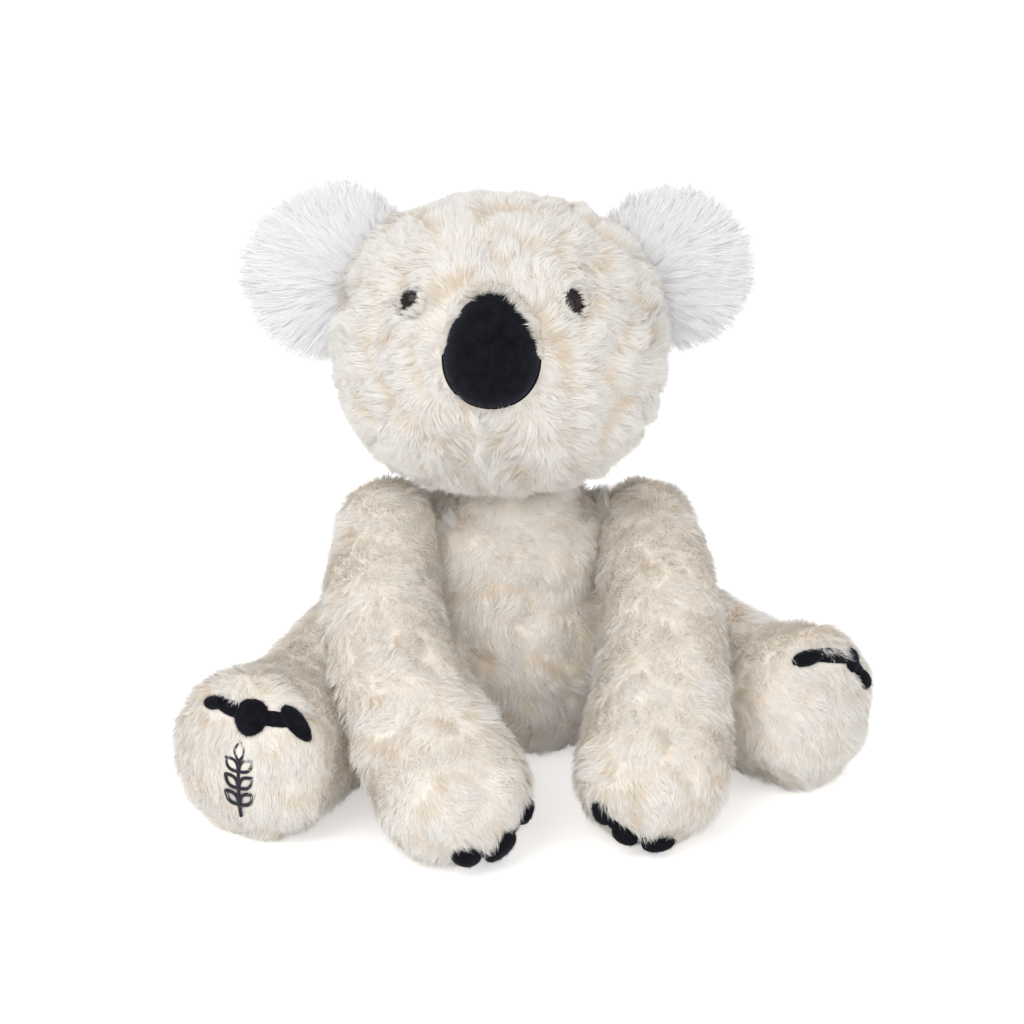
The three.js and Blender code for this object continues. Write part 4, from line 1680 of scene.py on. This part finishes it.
@dataclass(frozen=True)
class Arms:
    """Both arms, which hang from the shoulders and rest on the ground in front."""

    shoulder: float = 17.5 * MM
    elbow: float = 19.5 * MM
    wrist: float = 21.5 * MM
    hand: float = 24.5 * MM
    hand_height: float = 0.93
    hand_dome: float = 0.9
    elbow_share: float = 0.4
    wrist_share: float = 0.72
    bend_end: float = 34 * MM

    def pose(self, side: Side) -> ArmPose:
        """How the arm on a side lies."""
        if side is Side.RIGHT:
            return ArmPose(91 * MM, 24 * MM, 11 * MM, 4 * MM, 60 * DEGREES, 37 * DEGREES)
        return ArmPose(93 * MM, 1 * MM, 5 * MM, 6 * MM, 22 * DEGREES, 50 * DEGREES)

    def limb(self, side: Side) -> Limb:
        """The arm on a side: its line bows outward and upward as a half sine wave."""
        pose, hinge = self.pose(side), f"arm_{side.word}_raise"
        start = joint_place(hinge)
        hand = np.array((start[0] - side.value * pose.inward, start[1] - pose.reach, 0))
        hand[2] = self.hand * self.hand_height - FOOTPRINT
        bow = np.array((side.value * pose.bow_out, 0, pose.bow_up))
        shares = np.array((0, self.elbow_share, self.wrist_share, 1))[:, None]
        route = start + (hand - start) * shares + bow * np.sin(shares * math.pi)
        halves = np.array((self.shoulder, self.elbow, self.wrist, self.hand))
        talls = halves * (1, 1, 1, self.hand_height)
        return Limb(side, "arm", hinge, route, halves, talls, self.hand_dome, self.bend_end)

    def claws(self, side: Side) -> list[Egg]:
        """The hand's claws, on the lower side of the paw's tip."""
        if side is Side.RIGHT:
            lobes = (
                Lobe(-12.8, -4, 3.8, 5.2, 262), Lobe(-1.2, -1, 5, 6.8, 184), Lobe(8.6, 8.2, 1.7, 5.5, 62)
            )
        else:
            lobes = (
                Lobe(-9.4, 10.8, 2.9, 4.4, 140), Lobe(-2.4, 5, 2.8, 4.6, 122), Lobe(7.2, 0.4, 3, 5.6, 92)
            )
        pose, reach = self.pose(side), self.hand * self.hand_height
        level = np.array((-side.value * math.sin(pose.claw_azimuth), -math.cos(pose.claw_azimuth), 0))
        tip = level * math.cos(pose.claw_drop) - UP * math.sin(pose.claw_drop)
        cap = PawCap.facing(self.limb(side).route[3], tip, (reach, reach, reach))
        return ClawStrip(lobes, strip_radius=1.9 * MM).eggs(cap)


@dataclass(frozen=True)
class Shoulder:
    """The longer hair that closes the fold where an arm is sewn to the body, under the head."""

    side: Side
    arm: Limb
    pear: Form
    skull: Form
    width: float = 7 * MM
    buried: float = 1.5 * MM
    clear: float = 0.5 * MM
    lowest: float = 82 * MM

    def room(self, other: Form) -> Room:
        """Room for the hair near another form, above the lowest height and clear of the head."""

        def room(points: Array) -> Array:
            """The room above each place."""
            away, under = -other.depth(points), -self.skull.depth(points)
            beside = (away > -self.buried) & (away < self.width)
            kept = beside & (points[:, 2] > self.lowest) & (under > self.clear)
            return np.where(kept, (under * 1.3).clip(1 * MM, SHOULDER_PILE.height), -1.0)

        return room

    def build(self, shop: Workshop) -> None:
        """Makes the hair on the body's side of the fold, and on the arm's."""
        form, word, seed = self.arm.form(), self.side.word, 70 + self.side.value
        sides = (("body", self.pear, form, "torso"), ("arm", form, self.pear, self.arm.crossing()))
        for kind, own, other, carrier in sides:
            surfaces = SHOULDER_PILE.comb(own, lambda points: UP + 0 * points, seed, self.room(other))
            shop.pile(f"shoulder_{word}_{kind}_pile", surfaces, CREAM_PILE, carrier, "cream_plush")


@dataclass(frozen=True)
class Legs:
    """Both legs, which lie along the ground with their soles upright."""

    thigh: float = 28.5 * MM
    calf: float = 23 * MM
    ankle: float = 23.5 * MM
    foot: float = 27.5 * MM
    foot_width: float = 0.96
    sole_dome: float = 0.5
    thigh_puff: float = 2 * MM
    calf_puff: float = 4.5 * MM
    ankle_puff: float = 2 * MM
    foot_broad: float = 1.8 * MM
    calf_share: float = 0.38
    ankle_share: float = 0.7
    bend_end: float = 35 * MM

    def limb(self, side: Side) -> Limb:
        """The leg on a side: its line keeps each station's radius above the ground."""
        length = (90 if side is Side.RIGHT else 78) * MM
        azimuth = (27.5 if side is Side.RIGHT else 47) * DEGREES
        hinge = f"leg_{side.word}_drop"
        away = np.array((side.value * math.sin(azimuth), -math.cos(azimuth), 0))
        radii = np.array((self.thigh, self.calf, self.ankle, self.foot))
        shares = np.array((0, self.calf_share, self.ankle_share, 1))[:, None]
        route = joint_place(hinge) * (1, 1, 0) + away * length * shares + UP * (radii - FOOTPRINT)[:, None]
        halves = radii * (1, 1, 1, self.foot_width)
        plump = np.array((self.thigh_puff, self.calf_puff, self.ankle_puff, 0))
        leg = Limb(side, "leg", hinge, route, halves, radii, self.sole_dome, self.bend_end)
        return replace(leg, plump=plump, broad=self.foot_broad)

    def sole(self, side: Side) -> PawCap:
        """The foot's sole."""
        route, across = self.limb(side).route, self.foot * self.foot_width
        halves = (across, self.foot, across * self.sole_dome)
        return PawCap.facing(route[3], unit(route[3] - route[2]), halves)

    def claws(self, side: Side) -> list[Egg]:
        """The foot's claws, near the sole's upper rim."""
        if side is Side.RIGHT:
            lobes = (
                Lobe(-8, 17.8, 2.3, 4.6, 80), Lobe(6, 15.8, 5.8, 6.2, 182), Lobe(19.2, 15, 3.2, 7.2, 128)
            )
        else:
            lobes = (
                Lobe(-9, 20, 2.7, 6.6, 98), Lobe(10.2, 14.4, 3, 4.6, 40), Lobe(15.2, 6.4, 2.5, 4.2, 152)
            )
        return ClawStrip(lobes, half_thickness=2.7 * MM, proud=2 * MM).eggs(self.sole(side))


@dataclass(frozen=True)
class Sprig:
    """A leaf sprig in satin stitch on a sole, in mm: a stem with pairs of leaves and one at its tip."""

    across: float = 3.5
    over: float = -8
    height: float = 19
    leaf: float = 6.4
    leaf_half: float = 1.7
    lean: float = 50
    radius: float = 0.6 * MM
    stitch: float = 0.55 * MM
    proud: float = 0.9 * MM
    bare: float = 0.45 * MM

    def spot(self, cap: PawCap, x: float, y: float) -> Array:
        """A place of the sprig's own on the sole."""
        return cap.spot((x + self.across) * MM, (y + self.over) * MM, self.proud)[0]

    def lines(self, cap: PawCap) -> list[Array]:
        """The threads' lines on the sole: the stem, and each leaf's outline.

        A leaf runs out and back along its own line, leaf_half sin(pi t) to either side of it.

        Args:
            cap: the sole.

        Returns:
            The places along each line.
        """
        flat = [np.stack((np.zeros(90), np.linspace(-0.5, 0.5, 90) * self.height), axis=1)]
        share = np.linspace(0, 1, 46)
        for row in (-0.28, 0.02, 0.32, 0.5):
            for way in (-1, 1) if row < 0.5 else (0,):
                angle = way * self.lean * DEGREES
                ahead = np.array((math.sin(angle), math.cos(angle)))
                beside = np.array((ahead[1], -ahead[0]))
                out = share[:, None] * self.leaf * ahead
                bulge = np.sin(share * math.pi)[:, None] * self.leaf_half * beside
                flat.append(np.vstack((out + bulge, (out - bulge)[-2::-1])) + (0, row * self.height))
        return [np.array([self.spot(cap, *place) for place in line]) for line in flat]

    def threads(self, lines: Sequence[Array]) -> Surface:
        """The stitches: a round band along each line that swells and narrows with each stitch."""
        bands = []
        for line in lines:
            run = np.concatenate(([0], np.cumsum(np.linalg.norm(np.diff(line, axis=0), axis=1))))
            even = np.linspace(0, run[-1], int(run[-1] / self.stitch * 4))
            dense = np.stack([np.interp(even, run, line[:, k]) for k in range(3)], axis=1)
            bands.append(cord(dense, self.radius * (1 + 0.22 * np.cos(even / self.stitch * 2 * math.pi))))
        return bands[0].joined(*bands[1:])

    def room(self, lines: Sequence[Array]) -> Room:
        """The room that the threads leave: none beside them, and rising away from them."""
        path, bare = np.vstack(lines), self.bare + self.proud

        def room(points: Array) -> Array:
            """The room above each place."""
            away = np.full(len(points), 1.0)
            near = np.linalg.norm(points - path.mean(axis=0), axis=1) < 30 * MM
            gaps = [np.linalg.norm(points[near] - place, axis=1) for place in path[::2]]
            away[near] = np.min(gaps, axis=0)
            return np.where(away < bare, -1.0, 0.6 * MM + (away - bare) * 1.1)

        return room


def beside_claws(eggs: Sequence[Egg]) -> Room:
    """The room that claws leave: none under them, and rising away from them."""

    def room(points: Array) -> Array:
        """The room above each place."""
        away = np.min([-egg.depth(points) for egg in eggs], axis=0)
        return np.where(away < 0.2 * MM, -1.0, 2 * MM + away * 0.9)

    return room


# Each pile's crease_depth sets how far the painted crease shade darkens it: deepest on the body, head and
# lashes.
PILE = Pile()
BODY_PILE = replace(PILE, crease_depth=1.15, valley=1.35)
HEAD_PILE = replace(PILE, spacing=1.52 * MM, hairs=11, valley=1.2, crease_depth=1.0)
LIMB_PILE = replace(PILE, height=3.1 * MM, hairs=9, step=0.1, valley=0.9, crease_depth=0.8)
EAR_PILE = Pile(
    height=3 * MM, reach=10 * MM, spacing=1.25 * MM, lock_radius=1.3 * MM, hairs=11, half_width=0.085 * MM,
    closing=0.1, stray=0.6 * MM, tuft=7 * MM, gather=0.0, swirl=14 * DEGREES, straight=True,
    crease_depth=0.5, crown=0.4, shortest=0.84, levels=(0.0, 0.68, 1.0),
)
FUZZ = Pile(
    height=0.7 * MM, reach=0.5 * MM, spacing=0.85 * MM, lock_radius=0.5 * MM, hairs=3, half_width=0.05 * MM,
    closing=0.1, stray=0.15 * MM, tuft=5 * MM, gather=0.0, swirl=60 * DEGREES, sunk=0.2 * MM,
    crease_depth=0.3, crown=0.2,
)
LASH_PILE = replace(
    PILE, spacing=0.62 * MM, lock_radius=0.6 * MM, hairs=9, half_width=0.1 * MM, closing=0.15,
    stray=0.28 * MM, gather=0.0, swirl=12 * DEGREES, valley=0.0, step=0.0, shortest=0.84, arch_rise=1.1,
    arch_reach=0.2, crease_depth=1.0, levels=(0.0, 0.35, 0.7, 1.0),
)
RIM_PILE = replace(LASH_PILE, reach=5.4 * MM, shortest=0.6, stray=0.6 * MM, swirl=35 * DEGREES)
LASHES = (
    Lash(Side.RIGHT, 128 * DEGREES, 4.0 * MM, 2.7 * MM),
    Lash(Side.RIGHT, 278 * DEGREES, 3.6 * MM, 3.3 * MM),
    Lash(Side.LEFT, 236 * DEGREES, 3.6 * MM, 1.6 * MM),
    Lash(Side.LEFT, 78 * DEGREES, 4.2 * MM, 4.7 * MM),
)
SHOULDER_PILE = replace(
    PILE, height=6.5 * MM, reach=4.5 * MM, spacing=1.3 * MM, valley=0.3, step=0.1, shortest=0.55
)
VELOUR = VelourFinish()
EYE = PlasticFinish("eye_gloss", (0.006, 0.003, 0.0025), (0.018, 0.008, 0.006), 0.1, specular=0.25)
WASHER = PlasticFinish("washer_plastic", (0.60, 0.60, 0.57), (0.68, 0.68, 0.65), 0.45)
FIBRE = BackingFinish("fibre", (0.80, 0.80, 0.78), (0.90, 0.90, 0.88), loops=500.0)
BEAD_CLOTH = ClothFinish("bead_bag_cloth", (0.42, 0.38, 0.31), (0.60, 0.55, 0.46))


@dataclass(frozen=True)
class Studio:
    """A plain pale studio with the camera where the photograph was taken from."""

    aim_height: float = 82 * MM
    distance: float = 1.0
    elevation: float = 18 * DEGREES
    lens: float = 98.44
    sensor: float = 36.0
    floor_size: float = 12.0
    floor_glow: float = 0.46
    world_strength: float = 0.61
    key_level: float = 0.39
    fill_level: float = 0.10
    front_level: float = 0.25
    back_level: float = 0.2

    def camera(self) -> None:
        """Makes the camera and gives it to the scene."""
        data = bpy.data.cameras.new("camera")
        data.lens, data.sensor_width = self.lens, self.sensor
        data.clip_start, data.clip_end = 0.01, 100
        camera = bpy.data.objects.new("camera", data)
        back = Vector((0, -math.cos(self.elevation), math.sin(self.elevation)))
        camera.location = Vector((0, 0, self.aim_height)) + back * self.distance
        camera.rotation_euler = (-back).to_track_quat("-Z", "Y").to_euler()
        bpy.context.scene.collection.objects.link(camera)
        bpy.context.scene.camera = camera

    def lamp(self, name: str, place: tuple[float, float, float], size: float, level: float) -> None:
        """A square soft lamp that lights a white surface facing it at the aim to about that level."""
        data = bpy.data.lights.new(name, "AREA")
        data.shape, data.size = "SQUARE", size
        way = Vector((0, 0, self.aim_height)) - Vector(place)
        data.energy = level * math.pi**2 * way.length_squared
        lamp = bpy.data.objects.new(name, data)
        lamp.location = place
        lamp.rotation_euler = way.to_track_quat("-Z", "Y").to_euler()
        bpy.context.scene.collection.objects.link(lamp)

    def seen_white(self, wiring: Wiring) -> bpy.types.NodeSocket:
        """1 for rays from the camera, from a gloss or through glass, where the studio shows white."""
        path = wiring.node("LightPath")
        seen = path.outputs["Is Camera Ray"]
        for kind in ("Is Glossy Ray", "Is Transmission Ray"):
            either = wiring.node("Math", {"operation": "MAXIMUM"}, in_0=seen, in_1=path.outputs[kind])
            seen = either.outputs[0]
        return seen

    def world(self) -> None:
        """An even white sky, at full white where it is seen."""
        world = bpy.data.worlds.new("studio")
        world.use_nodes = True
        wiring = Wiring(world.node_tree)
        background = wiring.tree.nodes["Background"]
        background.inputs["Color"].default_value = (1, 1, 1, 1)
        seen = self.seen_white(wiring)
        level = wiring.node("MapRange", Value=seen, To_Min=self.world_strength, To_Max=1.0)
        wiring.tree.links.new(level.outputs["Result"], background.inputs["Strength"])
        bpy.context.scene.world = world

    def floor(self) -> None:
        """A pale floor that keeps the toy's shadow and turns white away from it."""
        s = Shader("studio_floor")
        plain = s.node("BsdfDiffuse", Color=(0.9, 0.9, 0.9, 1))
        shown = s.node("BsdfDiffuse", Color=(0.93, 0.93, 0.93, 1))
        glow = s.node("Emission", Color=(1, 1, 1, 1), Strength=self.floor_glow)
        lifted = s.node("AddShader", in_0=shown.outputs[0], in_1=glow.outputs[0])
        mix = s.node("MixShader", in_0=self.seen_white(s), in_1=plain.outputs[0], in_2=lifted.outputs[0])
        half = self.floor_size / 2
        corners = np.array(((-half, -half, 0), (half, -half, 0), (half, half, 0), (-half, half, 0)))
        floor = Surface(corners, [np.array([(0, 1, 2, 3)])]).piece("floor", s.finish(mix))

    def build(self) -> None:
        """Makes the whole studio."""
        self.world()
        self.floor()
        self.lamp("key", (-0.9, -1.3, 1.5), 1.4, self.key_level)
        self.lamp("fill", (1.4, -0.9, 0.9), 1.2, self.fill_level)
        self.lamp("front", (0.1, -1.7, 0.35), 1.2, self.front_level)
        self.lamp("back", (0.3, 1.6, 1.1), 1.4, self.back_level)


def main() -> None:
    """Builds the studio and the toy."""
    logging.basicConfig(level=logging.INFO, format="%(message)s")
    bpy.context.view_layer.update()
    bpy.context.scene.view_settings.view_transform = "Standard"
    bpy.context.scene.cycles.diffuse_bounces = 12
    studio = Studio()
    studio.camera()
    studio.build()
    shop = Workshop()
    torso, head, arms, legs, sprig = Torso(), Head(), Arms(), Legs(), Sprig()
    skull, pear = head.skull(), torso.pear()
    arm = {side: arms.limb(side) for side in Side}
    leg = {side: legs.limb(side) for side in Side}
    limbs = [limb.form() for limb in (*arm.values(), *leg.values())]
    torso.build(shop, skull, limbs)
    head.build(shop, [pear, arm[Side.RIGHT].form(), arm[Side.LEFT].form()])
    for side in Side:
        Ear(side).build(shop, skull)
        claws = arms.claws(side)
        thigh = leg[side].form()
        arm[side].build(shop, [pear, thigh, skull], [pear, thigh], beside_claws(claws), 50 + side.value)
        ClawStrip().build(shop, f"arm_{side.word}_claws", arm[side].body, claws, arm[side].form())
        Shoulder(side, arm[side], pear, skull).build(shop)
        claws = legs.claws(side)
        room = beside_claws(claws)
        if side is Side.RIGHT:
            lines = sprig.lines(legs.sole(side))
            room = least(room, sprig.room(lines))
            shop.make("sole_sprig", sprig.threads(lines), ThreadFinish(), leg[side].body, "black_velour")
        leg[side].build(shop, [pear, arm[side].form()], [pear], room, 54 + side.value)
        ClawStrip().build(shop, f"leg_{side.word}_claws", leg[side].body, claws, leg[side].form())
        washer = bpy.data.objects[f"eye_washer_{side.word}"]
        washer.material_slots[0].material = shop.material(WASHER)


if __name__ == "__main__":
    main()
